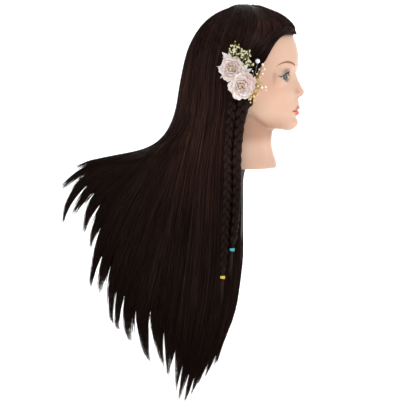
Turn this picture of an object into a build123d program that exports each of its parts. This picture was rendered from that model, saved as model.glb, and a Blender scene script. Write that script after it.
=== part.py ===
"""Mannequin training head with long rooted hair, two side plaits and a flower clip.

Frame: +Z up, origin at the mouth of the clamp socket in the neck's flat base, face towards -Y,
the head's own right side towards -X.  Units are millimetres.
"""
import math
import os

from build123d import *

os.makedirs("parts", exist_ok=True)

# ---------------------------------------------------------------- driving dimensions
WALL = 6.0               # moulded vinyl skin
SOCKET_R = 12.0          # clamp socket bore radius
SOCKET_DEPTH = 70.0
SLEEVE_R = 17.0
PLUG_T = 12.0            # neck plug thickness
CROWN_Z = 100.0          # where the crown hair hands over to the falling hair
GAP_X = 22.0             # half gap between the side curtains, clear of the stand's post
GAP_Y = 42.0             # the gap reaches this far behind the neck axis
PLAIT_TOP = 123.0        # hinge height of both plaits
CLIP_C = (-83.0, 4.0, 187.0)   # pivot end of the alligator clip, on the right temple
CLIP_DIR = (0.0, -0.61, -0.79)
CLIP_L = 52.0

# rows: height, front reach, back reach (both measured forwards), half width
SKULL = [
    (66.5, 88, 58, 16), (72, 93, 35, 30), (80, 95.5, 5, 42), (90, 96.5, -25, 49),
    (104, 100, -50, 55), (120, 100, -68, 60), (140, 98.5, -78, 65.5), (158, 98.5, -83, 69.5),
    (182, 101, -86, 73), (205, 97, -79, 73), (222, 89, -69, 69), (236, 80, -60, 62),
    (250, 67, -50, 52), (262, 48, -33, 35), (270, 27, 2, 12),
]
NECK = [
    (0, 61, -60, 59), (10, 61.5, -60, 59), (24, 58, -57, 55), (42, 53, -55, 50.5),
    (60, 54, -60, 50), (90, 50, -66, 49), (128, 40, -66, 46),
]
CROWN = [
    (CROWN_Z, 92, -112, 76), (120, 100, -107, 77.5), (140, 104, -105, 79), (160, 107, -100, 80),
    (182, 109, -96, 80.5), (205, 106, -89.5, 80.5), (222, 99, -81, 77), (236, 93, -73, 71),
    (250, 85.5, -61, 62), (262, 72, -47, 49), (272, 50, -25, 31), (279, 30, 0, 12),
]
# nose and lips: height, half width, forward reach, measured from FACE_Y
FACE_Y = 92.0
NOSE = [(160, 5.0, 8.0), (152, 5.5, 9.0), (143, 6.5, 13.5), (135, 9.0, 17.0), (129.5, 13.5, 19.0), (124.5, 14.0, 16.0),
        (120, 8.0, 10.0)]
LIPS = [(110, 9, 8.5), (105.5, 19, 13.2), (101, 23, 11.5), (98.5, 23, 10.5), (95, 20, 11.8), (91, 13, 8.5), (88, 7, 5.0)]
# side view of the hairline, (Y, Z); everything above and behind it grows hair
HAIRLINE = [
    (-140, 228), (-86, 228), (-68, 228), (-61, 216), (-50, 190), (-44, 168), (-33, 134), (-30, 96),
    (20, 90), (55, 62), (140, 55), (140, 320), (-140, 320),
]
# side view of the falling hair, (Y, Z): front edge down, the cut ends, and back up the swept back
FALL = [
    (-29, CROWN_Z), (-19, 67), (-15, 30), (-14, -60), (-15, -110), (-11, -155), (-7, -190),
    (1, -242), (10, -273), (24, -297), (40, -330), (61, -357), (66, -330), (84, -383), (90, -345),
    (101, -403), (107, -350), (115, -396), (121, -300), (130, -355), (147, -232), (161, -333),
    (182, -240), (199, -297), (205, -235), (219, -280), (228, -200), (247, -212), (252, -160),
    (265, -206), (262, -112), (271, -137), (272, -88), (278, -110), (284, -62), (294, -83),
    (291, -42), (315, -98), (306, -32), (315, -31), (296, -8), (268, 4), (208, 15.5), (163, 25),
    (146, 36), (134, 47), (122, 67), (115, 87), (111, CROWN_Z),
]
# front view of the falling hair: half width against height
FALL_W = [(CROWN_Z, 75.5), (60, 73), (0, 70), (-100, 64), (-200, 54), (-300, 38), (-404, 12)]
# top view of the falling hair: half width against Y
FALL_TOP = [(-40, 76), (120, 76), (180, 60), (250, 42), (320, 12)]


def ring(ff, fb, w, k=0.13, n=14):
    """One egg-shaped level of the head, narrower at the face."""
    yc, d = -(ff + fb) / 2, (ff - fb) / 2
    pts = []
    for i in range(n):
        t = 2 * math.pi * i / n
        pts.append((w * math.sin(t) * (1 - k * math.cos(t)), yc - d * math.cos(t)))
    return pts


def levels(rows, inset=0.0, k=0.13):
    """One flat sketch for every level, ready to loft."""
    out = []
    for z, ff, fb, w in rows:
        with BuildSketch(Plane.XY.offset(z)) as level:
            with BuildLine():
                Spline(*ring(ff - inset, fb + inset, w - inset, k), periodic=True)
            make_face()
        out.append(level.sketch)
    return out


def bumps(rows):
    """Oval levels that stand out of the face."""
    out = []
    for z, w, reach in rows:
        with BuildSketch(Plane.XY.offset(z)) as level:
            with Locations((0, -FACE_Y + 6)):
                Ellipse(w, reach + 6)
        out.append(level.sketch)
    return out


# ---------------------------------------------------------------- head envelope
nose_levels = bumps(NOSE)
lip_levels = bumps(LIPS)
with BuildPart() as nose:
    loft(nose_levels)
with BuildPart() as lips:
    loft(lip_levels)
skull_levels = levels(SKULL)
neck_levels = levels(NECK, k=0.0)
with BuildPart() as head_env:
    loft(skull_levels)
with BuildPart() as neck_env:
    loft(neck_levels)
with BuildPart() as body_env:
    add(head_env.part)
    add(neck_env.part)
    add(nose.part)
    add(lips.part)

INNER_SKULL = [(76, 90, 42, 24)] + [r for r in SKULL if 80 <= r[0] <= 250] + [(258, 54, -40, 42)]
inner_skull_levels = levels([INNER_SKULL[0]]) + levels(INNER_SKULL[1:], WALL)
inner_neck_levels = levels([(PLUG_T, 61, -60, 59)] + [r for r in NECK if r[0] > PLUG_T], WALL, k=0.0)
plug_levels = levels([(0, 61, -60, 59), (PLUG_T, 61, -60, 59)], WALL, k=0.0)
with BuildPart() as head_in:
    loft(inner_skull_levels)
with BuildPart() as neck_in:
    loft(inner_neck_levels)

# clamp socket: a blind tube let into the plug and the core
with BuildPart() as socket_sleeve:
    with BuildSketch(Plane.XY):
        Circle(SLEEVE_R)
    extrude(amount=SOCKET_DEPTH + 5)
    with BuildSketch(Plane.XY):
        Circle(SOCKET_R)
    extrude(amount=SOCKET_DEPTH, mode=Mode.SUBTRACT)
    fillet(socket_sleeve.faces().sort_by(Axis.Z)[-1].edges(), 2)
socket_sleeve.part.label = "socket_sleeve"
with BuildPart() as sleeve_room:
    with BuildSketch(Plane.XY):
        Circle(SLEEVE_R)
    extrude(amount=SOCKET_DEPTH + 5)

with BuildPart() as neck_plug:
    loft(plug_levels, ruled=True)
    with BuildSketch(Plane.XY):
        Circle(SLEEVE_R)
    extrude(amount=PLUG_T, mode=Mode.SUBTRACT)
neck_plug.part.label = "neck_plug"
with BuildPart() as plug_room:
    loft(plug_levels, ruled=True)

with BuildPart() as foam_core:
    add(head_in.part)
    add(neck_in.part)
    add(sleeve_room.part, mode=Mode.SUBTRACT)
foam_core.part.label = "foam_core"
with BuildPart() as core_room:
    add(head_in.part)
    add(neck_in.part)
    add(plug_room.part)

# the skin is moulded as a face with its neck, and a scalp that carries the rooted hair
with BuildPart() as hair_zone:
    with BuildSketch(Plane.YZ):
        with BuildLine():
            Polyline(*HAIRLINE, close=True)
        make_face()
    extrude(amount=130, both=True)
with BuildPart() as face_shell:
    add(body_env.part)
    add(core_room.part, mode=Mode.SUBTRACT)
    add(hair_zone.part, mode=Mode.SUBTRACT)
face_shell.part.label = "face_shell"
with BuildPart() as scalp_cap:
    add(body_env.part)
    add(core_room.part, mode=Mode.SUBTRACT)
    add(hair_zone.part, mode=Mode.INTERSECT)
scalp_cap.part.label = "scalp_cap"

# ---------------------------------------------------------------- fringe pin, with its room in the hair
PIN_END = Vector(8, -91.0, 225.0)       # closed end, just below the hairline
PIN_AXIS = Vector(0, 0.50, 0.866)       # up and back, along the forehead
PIN_LEN = 40.0
pin_plane = Plane(origin=PIN_END, x_dir=(1, 0, 0), z_dir=PIN_AXIS)
with BuildPart() as fringe_pin:
    with BuildSketch(Plane(origin=PIN_END, x_dir=(1, 0, 0), z_dir=Vector(1, 0, 0).cross(PIN_AXIS))) as sk:
        with BuildLine():
            l1 = Polyline((-2.2, PIN_LEN), (-2.2, 2.2))
            a1 = RadiusArc((-2.2, 2.2), (2.2, 2.2), -2.2, short_sagitta=True)
            l2 = Polyline((2.2, 2.2), (2.2, PIN_LEN - 4), (0.4, PIN_LEN - 4), (0.4, PIN_LEN - 6),
                          (0.8, 4.2))
            a2 = RadiusArc((0.8, 4.2), (-0.8, 4.2), 0.9)
            l3 = Polyline((-0.8, 4.2), (-0.8, PIN_LEN), (-2.2, PIN_LEN))
        make_face()
    extrude(amount=0.7, both=True)
fringe_pin.part.label = "fringe_pin"
with BuildPart() as pin_room:
    with BuildSketch(pin_plane.offset(-30)):
        Rectangle(5.4, 2.6)
    extrude(amount=PIN_LEN + 31.5)

# ---------------------------------------------------------------- hair
crown_levels = levels(CROWN, k=0.10)
with BuildPart() as crown_env:
    loft(crown_levels)
with BuildPart() as hair_crown:
    add(crown_env.part)
    add(hair_zone.part, mode=Mode.INTERSECT)
    add(body_env.part, mode=Mode.SUBTRACT)
    add(pin_room.part, mode=Mode.SUBTRACT)
hair_crown.part.label = "hair_crown"

SHOULDER = [(15, 92, -190, 84), (36, 92, -152, 82), (60, 92, -128, 79), (CROWN_Z, 92, -112, 76)]
shoulder_levels = levels(SHOULDER, k=0.0)
with BuildPart() as shoulder_cut:
    with Locations((0, 100, 62)):
        Box(400, 400, 94)
    loft(shoulder_levels, ruled=True, mode=Mode.SUBTRACT)
with BuildPart() as fall_env:
    with BuildSketch(Plane.YZ):
        with BuildLine():
            Polyline(*FALL, close=True)
        make_face()
    extrude(amount=90, both=True)
    with BuildSketch(Plane.XZ):
        with BuildLine():
            Polyline(*[(-w, z) for z, w in FALL_W], *[(w, z) for z, w in reversed(FALL_W)], close=True)
        make_face()
    extrude(amount=340, both=True, mode=Mode.INTERSECT)
    with BuildSketch(Plane.XY.offset(-410)):
        with BuildLine():
            Polyline(*[(-w, y) for y, w in FALL_TOP], *[(w, y) for y, w in reversed(FALL_TOP)], close=True)
        make_face()
    extrude(amount=520, mode=Mode.INTERSECT)
    add(shoulder_cut.part, mode=Mode.SUBTRACT)
    add(body_env.part, mode=Mode.SUBTRACT)
    # the way up to the socket stays open between the side curtains
    with Locations((0, GAP_Y - 100, -205)):
        Box(2 * GAP_X, 200, 420, mode=Mode.SUBTRACT)

SWEEP_Y = 128.0          # behind this the hair is swept out
ENDS_Z = -214.0          # below this are the cut ends


# the far curtain hangs further back than the near one below the neck: its front edge, (Y, Z)
FAR_EDGE = [
    (-80, 40), (-29, 40), (-8, 12), (8, -8), (17, -40), (17, -110), (18, -160), (21, -200), (27, -242),
    (34, -273), (46, -300), (58, -335), (62, -360), (-80, -360),
]
with BuildPart() as far_cut:
    with BuildSketch(Plane.YZ):
        with BuildLine():
            Polyline(*FAR_EDGE, close=True)
        make_face()
    extrude(amount=120)


def zone(x0, x1, y0, y1, z0, z1):
    """A box between two corners, for cutting one hair section out of the fall."""
    return ((x0 + x1) / 2, (y0 + y1) / 2, (z0 + z1) / 2), (x1 - x0, y1 - y0, z1 - z0)


def section(x0, x1, y0, y1, z0, z1):
    at, size = zone(x0, x1, y0, y1, z0, z1)
    with Locations(at):
        Box(*size, mode=Mode.INTERSECT)


with BuildPart() as hair_right:
    add(fall_env.part)
    section(-120, -GAP_X, -60, SWEEP_Y, ENDS_Z, 120)
hair_right.part.label = "hair_right"
with BuildPart() as hair_left:
    add(fall_env.part)
    section(GAP_X, 120, -60, SWEEP_Y, ENDS_Z, 120)
    add(far_cut.part, mode=Mode.SUBTRACT)
hair_left.part.label = "hair_left"
with BuildPart() as hair_nape:
    add(fall_env.part)
    section(-GAP_X, GAP_X, GAP_Y, SWEEP_Y, ENDS_Z, 120)
hair_nape.part.label = "hair_nape"
with BuildPart() as hair_ends_right:
    add(fall_env.part)
    section(-120, 0, -60, SWEEP_Y, -420, ENDS_Z)
hair_ends_right.part.label = "hair_ends_right"
with BuildPart() as hair_ends_left:
    add(fall_env.part)
    section(0, 120, -60, SWEEP_Y, -420, ENDS_Z)
    add(far_cut.part, mode=Mode.SUBTRACT)
hair_ends_left.part.label = "hair_ends_left"
with BuildPart() as hair_sweep_inner:
    add(fall_env.part)
    section(-120, 120, SWEEP_Y, 222, -420, 120)
hair_sweep_inner.part.label = "hair_sweep_inner"
with BuildPart() as hair_sweep_outer:
    add(fall_env.part)
    section(-120, 120, 222, 340, -420, 120)
hair_sweep_outer.part.label = "hair_sweep_outer"

# ---------------------------------------------------------------- plaits with their bands
# centre line: height, X, Y, half width, half thickness
PLAIT_F = [
    (PLAIT_TOP + 1, -83.2, -20.5, 4.5, 3.0), (118, -83.2, -20.0, 7.5, 5.2), (76, -81.5, -14.5, 8.0, 5.6),
    (35, -80.0, -10.0, 7.8, 5.6), (-24, -78.5, -9.3, 7.4, 5.4), (-79, -76.8, -7.0, 6.6, 5.0),
    (-126, -75.0, -1.5, 4.0, 3.6), (-133, -74.8, -0.6, 2.5, 2.5), (-140, -74.8, 0.3, 2.5, 2.5),
    (-150, -74.6, 1.5, 2.5, 2.5), (-179, -74.0, 4.5, 1.8, 1.8),
]
PLAIT_R = [
    (PLAIT_TOP + 1, -83.2, -4.0, 4.3, 3.0), (118, -83.2, -3.8, 6.6, 5.2), (76, -81.5, 1.8, 7.2, 5.4),
    (35, -80.0, 6.0, 7.2, 5.4), (-24, -78.5, 6.9, 7.0, 5.2), (-79, -76.8, 9.6, 6.8, 5.0),
    (-134, -75.0, 13.0, 6.0, 4.6), (-174, -74.0, 15.8, 3.8, 3.4), (-181, -73.9, 16.4, 2.5, 2.5),
    (-188, -73.9, 16.9, 2.5, 2.5), (-198, -73.8, 17.6, 2.5, 2.5), (-226, -73.4, 19.6, 1.8, 1.8),
]


def plait_levels(rows):
    """Oval levels down one plait."""
    out = []
    for z, x, y, hw, ht in rows:
        with BuildSketch(Plane.XY.offset(z)) as level:
            with Locations((x, y)):
                Ellipse(ht, hw)
        out.append(level.sketch)
    return out


front_levels = plait_levels(PLAIT_F)
rear_levels = plait_levels(PLAIT_R)
with BuildPart() as plait_front:
    loft(front_levels, ruled=True)
plait_front.part.label = "plait_front"
with BuildPart() as plait_rear:
    loft(rear_levels, ruled=True)
plait_rear.part.label = "plait_rear"

BAND_R, BAND_WIRE = 4.0, 1.15
with BuildPart() as band_teal:
    with BuildSketch(Plane.XZ.offset(0.15)) as sk:
        with Locations((-74.8 + BAND_R, -136.5)):
            Circle(BAND_WIRE)
    revolve(axis=Axis((-74.8, -0.15, 0), (0, 0, 1)))
band_teal.part.label = "band_teal"
with BuildPart() as band_yellow:
    with BuildSketch(Plane.XZ.offset(-16.65)) as sk:
        with Locations((-73.9 + BAND_R, -184.5)):
            Circle(BAND_WIRE)
    revolve(axis=Axis((-73.9, 16.65, 0), (0, 0, 1)))
band_yellow.part.label = "band_yellow"

# ---------------------------------------------------------------- alligator clip
clip = Plane(origin=CLIP_C, x_dir=CLIP_DIR, z_dir=(-1, 0, 0))     # local x runs down the jaws, z outwards
PIV_Z = 3.6
flat_xz = Plane(origin=CLIP_C, x_dir=CLIP_DIR, z_dir=Vector(-1, 0, 0).cross(Vector(*CLIP_DIR)))
# on flat_xz the local y axis is worked out so that it points outwards
OUT = 1.0 if flat_xz.y_dir.X < 0 else -1.0

with BuildPart() as clip_lower:
    with BuildSketch(clip):
        with Locations((CLIP_L / 2 - 5, 0)):
            SlotOverall(CLIP_L, 8)
    extrude(amount=0.8)
    with BuildSketch(flat_xz):
        with BuildLine():
            Polyline((-3.2, 0.4 * OUT), (3.2, 0.4 * OUT), (1.9, PIV_Z * OUT + 1.9 * OUT), (-1.9, PIV_Z * OUT + 1.9 * OUT), close=True)
        make_face()
    extrude(amount=4.0, both=True)
    with BuildSketch(flat_xz):
        with Locations((0, 3.9 * OUT)):
            Rectangle(14, 6.2)
    extrude(amount=3.3, both=True, mode=Mode.SUBTRACT)
    with BuildSketch(flat_xz):
        with Locations((0, PIV_Z * OUT)):
            Circle(1.0)
    extrude(amount=6, both=True, mode=Mode.SUBTRACT)
    # a row of grip teeth under the front of the jaw's edge
    for i in range(6):
        with BuildSketch(clip.offset(0.7)):
            with Locations((24 + 3.2 * i, 0)):
                Rectangle(1.0, 6)
        extrude(amount=0.6, taper=20)
clip_lower.part.label = "clip_lower"

with BuildPart() as clip_pivot:
    with BuildSketch(flat_xz):
        with Locations((0, PIV_Z * OUT)):
            Circle(1.0)
    extrude(amount=4.4, both=True)
clip_pivot.part.label = "clip_pivot"

with BuildPart() as clip_spring:
    with BuildSketch(flat_xz):
        with Locations((0, PIV_Z * OUT)):
            Circle(1.75)
            Circle(1.08, mode=Mode.SUBTRACT)
    extrude(amount=1.6, both=True)
clip_spring.part.label = "clip_spring"

with BuildPart() as clip_upper:
    # jaw and thumb lever as one bent strip, between the lower jaw's ears
    with BuildSketch(flat_xz):
        with BuildLine():
            Polyline((-11, (PIV_Z + 5.6) * OUT), (-2.6, (PIV_Z + 2.5) * OUT), (8, (PIV_Z + 2.2) * OUT),
                     (38, (PIV_Z + 1.6) * OUT), (41, 1.9 * OUT), (41.8, 1.9 * OUT), (39, (PIV_Z + 2.4) * OUT),
                     (8, (PIV_Z + 3.0) * OUT), (-2.6, (PIV_Z + 3.3) * OUT), (-11, (PIV_Z + 6.4) * OUT), close=True)
        make_face()
    extrude(amount=3.0, both=True)
    for side in (1, -1):
        with BuildSketch(flat_xz.offset(side * 2.5)):
            with BuildLine():
                Polyline((-2.4, (PIV_Z + 2.9) * OUT), (2.4, (PIV_Z + 2.9) * OUT), (1.8, (PIV_Z - 1.7) * OUT),
                         (-1.8, (PIV_Z - 1.7) * OUT), close=True)
            make_face()
            with Locations((0, PIV_Z * OUT)):
                Circle(1.05, mode=Mode.SUBTRACT)
        extrude(amount=0.4, both=True)
clip_upper.part.label = "clip_upper"

# ---------------------------------------------------------------- flowers on the clip
FELT_X = -93.0           # outer face of the felt
with BuildPart() as felt_backing:
    with BuildSketch(Plane(origin=(-90.0, -14, 164), x_dir=CLIP_DIR, z_dir=(-1, 0, 0))):
        with Locations((-1, 0)):
            Ellipse(27, 15)
    extrude(amount=1.2)
    felt_from = felt_backing.part
felt_backing.part.label = "felt_backing"


def outward(y, z, x=-91.2):
    """A plane on the felt, facing away from the head."""
    return Plane(origin=(x, y, z), x_dir=(0, 1, 0), z_dir=(-1, 0, 0))


def bloom(y, z, r, h, x=-91.2):
    """Levels of an open rose: a narrow foot, a scalloped widest level and a smaller top."""
    n = 10
    with BuildSketch(outward(y, z, x)) as foot:
        Circle(r * 0.42)
    with BuildSketch(outward(y, z, x - h * 0.55)) as rim:
        with BuildLine():
            Spline(*[((r * (0.93 + 0.05 * math.cos(math.pi * i))) * math.cos(math.pi * i / n),
                      (r * (0.93 + 0.05 * math.cos(math.pi * i))) * math.sin(math.pi * i / n)) for i in range(2 * n)],
                   periodic=True)
        make_face()
    with BuildSketch(outward(y, z, x - h)) as top:
        Circle(r * 0.62)
    return [foot.sketch, rim.sketch, top.sketch]


ROSE_LOW = (-21.0, 152.5, 23.0, 19.0)
ROSE_UP = (-2.5, 176.0, 21.0, 16.0)
low_levels = bloom(*ROSE_LOW)
up_levels = bloom(*ROSE_UP)
HEART = ((-2.6, 1.6), (2.4, 2.2), (0.2, -2.6))  # where the pearls stand on each rose
with BuildPart() as rose_lower:
    loft(low_levels)
rose_lower.part.label = "rose_lower"
with BuildPart() as rose_upper:
    loft(up_levels)
    add(rose_lower.part, mode=Mode.SUBTRACT)
rose_upper.part.label = "rose_upper"

with BuildPart() as rose_pearls:
    for (y, z, r, h) in (ROSE_LOW, ROSE_UP):
        for dy, dz in HEART:
            with Locations((-91.2 - h - 1.7, y + dy, z + dz)):
                Sphere(1.7)
rose_pearls.part.label = "rose_pearls"

# wire stems from the felt's edge to the blossoms: (start Y, start Z, end X, end Y, end Z)
GYP = [
    (-4, 188.5, -94, 3, 193), (-6, 190, -97, -8, 213), (-9, 190, -99, -15, 212), (-11, 189, -96, -21, 209),
    (-13, 188, -100, -12, 205), (-14, 186, -97, -27, 205), (-16, 184, -101, -21, 200),
    (-17, 182, -97, -33, 198), (-18, 180, -100, -28, 193), (-19, 178, -98, -35, 190),
    (-20, 176, -96, -31, 184), (-3, 191, -97, -3, 207), (-19.5, 174, -100, -26.5, 180),
    (-5, 190.5, -101, -5.5, 202), (-22, 172, -95, -38, 181),
]
with BuildPart() as gyp_stems:
    for y0, z0, x1, y1, z1 in GYP:
        a, b = Vector(-92.2, y0, z0), Vector(x1, y1, z1)
        with BuildSketch(Plane(origin=a, z_dir=b - a)):
            Circle(0.4)
        extrude(amount=(b - a).length - 1.2)
gyp_stems.part.label = "gyp_stems"
with BuildPart() as gyp_blossoms:
    for y0, z0, x1, y1, z1 in GYP[1:]:
        with Locations((x1, y1, z1)):
            Sphere(2.3)
gyp_blossoms.part.label = "gyp_blossoms"


def leaf(y, z, angle, length, width, x=-93.5, lift=0.0):
    """A thin pointed leaf lying parallel to the head's side."""
    p = Plane(origin=(x, y, z), x_dir=(0, math.cos(math.radians(angle)), math.sin(math.radians(angle))),
              z_dir=(-1, 0, 0))
    with BuildSketch(p) as blade:
        with BuildLine():
            ThreePointArc((0, 0), (length / 2, width / 2), (length, 0))
            ThreePointArc((length, 0), (length / 2, -width / 2), (0, 0))
        make_face()
    return blade.sketch


LEAVES = [
    (0, 190, 42, 18, 8, -93.6), (4, 176, 5, 20, 5, -91.2), (4, 168, -40, 17, 8, -91.2),
    (-22, 166, 150, 20, 8, -91.2),
]
GOLD = [
    (-34, 148, 172, 31, 17, -91.8), (-32, 142, -132, 27, 13, -92.6), (-34, 156, 150, 24, 11, -93.4),
]
blades = [leaf(*row) for row in LEAVES]
gold_blades = [leaf(*row) for row in GOLD]
with BuildPart() as white_leaves:
    for blade in blades:
        extrude(blade, amount=0.6)
white_leaves.part.label = "white_leaves"
with BuildPart() as gold_organza:
    for blade in gold_blades:
        extrude(blade, amount=0.6)
gold_organza.part.label = "gold_organza"

# pearls and one crystal on wires that reach over the cheek
SPRAY = [
    (-43.5, 166, -90, -45.5, 187, 3.9), (-46, 162, -93, -57, 182, 2.2), (-47.5, 159, -92, -60, 174, 2.0),
    (-48, 156, -94, -57, 166, 2.0), (-44, 139, -100.5, -57, 143.5, 2.4), (-44, 135, -100.5, -63.5, 144, 2.2),
    (-36, 130, -99, -42.5, 128.5, 2.1), (-33, 129, -97, -36.5, 123.5, 2.0), (-38, 134, -96, -48.5, 132, 1.8),
    (-34.5, 129.6, -94, -43.5, 121, 1.6),
]
with BuildPart() as pearl_wires:
    for y0, z0, x1, y1, z1, r in SPRAY:
        a, b = Vector(-91.6, y0, z0), Vector(x1, y1, z1)
        with BuildSketch(Plane(origin=a, z_dir=b - a)):
            Circle(0.35)
        extrude(amount=(b - a).length - r * 0.6)
pearl_wires.part.label = "pearl_wires"
with BuildPart() as spray_pearls:
    for y0, z0, x1, y1, z1, r in SPRAY[1:]:
        with Locations((x1, y1, z1)):
            Sphere(r)
spray_pearls.part.label = "spray_pearls"
with BuildPart() as crystal_stone:
    with BuildSketch(Plane(origin=(-88.6, -45.5, 187), x_dir=(0, 1, 0), z_dir=(-1, 0, 0))):
        Circle(3.9)
    extrude(amount=1.6)
    with BuildSketch(Plane(origin=(-90.2, -45.5, 187), x_dir=(0, 1, 0), z_dir=(-1, 0, 0))):
        RegularPolygon(3.5, 8)
    extrude(amount=1.9, taper=30)
crystal_stone.part.label = "crystal_stone"

PARTS = [
    face_shell, scalp_cap, foam_core, neck_plug, socket_sleeve, fringe_pin,
    hair_crown, hair_right, hair_left, hair_nape, hair_ends_right, hair_ends_left,
    hair_sweep_inner, hair_sweep_outer, plait_front, plait_rear, band_teal, band_yellow,
    clip_lower, clip_pivot, clip_spring, clip_upper, felt_backing, rose_lower, rose_upper, rose_pearls,
    gyp_stems, gyp_blossoms, white_leaves, gold_organza, pearl_wires, spray_pearls, crystal_stone,
]
for p in PARTS:
    export_step(p.part, f"parts/{p.part.label}.step")
    print(p.part.label, len(p.part.solids()), round(p.part.volume / 1000, 2), "cm3",
          [round(v, 1) for v in (*p.part.bounding_box().min, *p.part.bounding_box().max)])
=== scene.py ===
"""Looks of the practice head: sculpted vinyl face, dense combed hair, plaits, flowers, camera and light."""

import math

import bmesh
import bpy
import numpy as np
from mathutils import Matrix, Vector


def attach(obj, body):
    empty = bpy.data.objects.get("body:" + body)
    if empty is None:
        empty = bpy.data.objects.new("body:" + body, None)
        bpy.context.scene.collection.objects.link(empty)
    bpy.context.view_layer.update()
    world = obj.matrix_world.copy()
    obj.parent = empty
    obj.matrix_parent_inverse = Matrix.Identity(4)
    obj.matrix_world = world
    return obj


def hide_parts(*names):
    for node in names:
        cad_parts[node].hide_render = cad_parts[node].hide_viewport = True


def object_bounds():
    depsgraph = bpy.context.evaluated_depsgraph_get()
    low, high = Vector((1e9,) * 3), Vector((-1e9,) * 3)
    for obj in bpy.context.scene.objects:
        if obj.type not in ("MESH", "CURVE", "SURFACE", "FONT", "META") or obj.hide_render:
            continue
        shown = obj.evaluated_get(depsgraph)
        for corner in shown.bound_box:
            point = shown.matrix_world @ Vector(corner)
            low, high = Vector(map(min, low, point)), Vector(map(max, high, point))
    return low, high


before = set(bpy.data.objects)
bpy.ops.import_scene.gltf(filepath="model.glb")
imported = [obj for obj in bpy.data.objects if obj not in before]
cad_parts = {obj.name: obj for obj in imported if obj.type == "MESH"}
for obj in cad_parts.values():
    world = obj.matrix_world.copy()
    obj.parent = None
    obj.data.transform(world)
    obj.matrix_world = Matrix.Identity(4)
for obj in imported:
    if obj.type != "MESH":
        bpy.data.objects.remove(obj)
CAD_LO, CAD_HI = [list(v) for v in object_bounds()]
MM = 0.001
scene = bpy.context.scene
scene.view_settings.view_transform = "Standard"
scene.view_settings.look = "None"

# ------------------------------------------------------------------ camera
AZ, EL, DIST, PX = math.radians(-78), math.radians(4.5), 6000.0, 1.72
BACK = np.array([math.sin(AZ) * math.cos(EL), -math.cos(AZ) * math.cos(EL), math.sin(EL)])
LOOK = -BACK
RIGHT = np.cross(LOOK, [0, 0, 1.0])
RIGHT /= np.linalg.norm(RIGHT)
UP = np.cross(RIGHT, LOOK)
CAM = RIGHT * (208 - 241) * PX + UP * (167 - 203) * PX - LOOK * (DIST + 40)

cam_data = bpy.data.cameras.new("camera")
cam_data.sensor_width = 36
cam_data.lens = 36 * DIST / (416 * PX)
cam = bpy.data.objects.new("camera", cam_data)
scene.collection.objects.link(cam)
cam.location = Vector(CAM) * MM
cam.rotation_mode = "QUATERNION"
cam.rotation_quaternion = Vector(LOOK).to_track_quat("-Z", "Y")
cam_data.clip_end = 60
scene.camera = cam


def at(px, py, x):
    """The point on the plane X = x that the picture position (px, py) shows, in mm."""
    d = LOOK + RIGHT * ((px - 208) * PX / DIST) + UP * ((203 - py) * PX / DIST)
    return CAM + d * ((x - CAM[0]) / d[0])


# ------------------------------------------------------------------ light, floor and backdrop
world = bpy.data.worlds.new("studio")
scene.world = world
world.use_nodes = True
world.node_tree.nodes["Background"].inputs[0].default_value = (1, 1, 1, 1)
world.node_tree.nodes["Background"].inputs[1].default_value = 0.45


def area(name, at_mm, target_mm, size, power, colour=(1, 1, 1)):
    d = bpy.data.lights.new(name, "AREA")
    d.shape = "RECTANGLE"
    d.size, d.size_y = size
    d.energy = power
    d.color = colour
    o = bpy.data.objects.new(name, d)
    scene.collection.objects.link(o)
    o.location = Vector(at_mm) * MM
    o.rotation_mode = "QUATERNION"
    o.rotation_quaternion = (Vector(target_mm) - Vector(at_mm)).to_track_quat("-Z", "Y")
    return o


area("key", (-1900, -1500, 1500), (0, 0, 80), (1.3, 1.3), 26)
area("fill", (-1800, 1500, 300), (0, 60, -60), (1.6, 1.6), 10)
area("front", (300, -2200, 500), (0, 0, 80), (1.2, 1.2), 6)
area("top", (-300, 300, 2100), (0, 50, 0), (1.6, 1.6), 10)
area("far_side", (1900, 300, 700), (0, 40, 0), (1.6, 1.6), 12)


# ------------------------------------------------------------------ small helpers
def rng(seed):
    return np.random.default_rng(seed)


def make(name, verts, faces, mats, body, replaces=(), smooth=True, index=None):
    """A mesh piece from mm coordinates, riding on a body."""
    me = bpy.data.meshes.new(name)
    verts = np.asarray(verts, dtype=np.float64) * MM
    faces = [tuple(int(i) for i in f) for f in faces] if not isinstance(faces, np.ndarray) else faces
    if isinstance(faces, np.ndarray):
        n, k = faces.shape
        me.vertices.add(len(verts))
        me.vertices.foreach_set("co", verts.astype(np.float32).ravel())
        me.loops.add(n * k)
        me.loops.foreach_set("vertex_index", faces.astype(np.int32).ravel())
        me.polygons.add(n)
        me.polygons.foreach_set("loop_start", np.arange(0, n * k, k, dtype=np.int32))
        me.polygons.foreach_set("loop_total", np.full(n, k, dtype=np.int32))
    else:
        me.from_pydata([tuple(v) for v in verts], [], faces)
    for m in mats if isinstance(mats, (list, tuple)) else [mats]:
        me.materials.append(m)
    if index is not None:
        me.polygons.foreach_set("material_index", np.asarray(index, dtype=np.int32))
    me.polygons.foreach_set("use_smooth", np.full(len(me.polygons), smooth, dtype=bool))
    me.update()
    me.validate()
    o = bpy.data.objects.new(name, me)
    scene.collection.objects.link(o)
    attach(o, body)
    if replaces:
        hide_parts(*replaces)
    return o


def attribute(obj, name, values):
    a = obj.data.attributes.new(name, "FLOAT", "POINT")
    a.data.foreach_set("value", np.asarray(values, dtype=np.float32))


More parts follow.
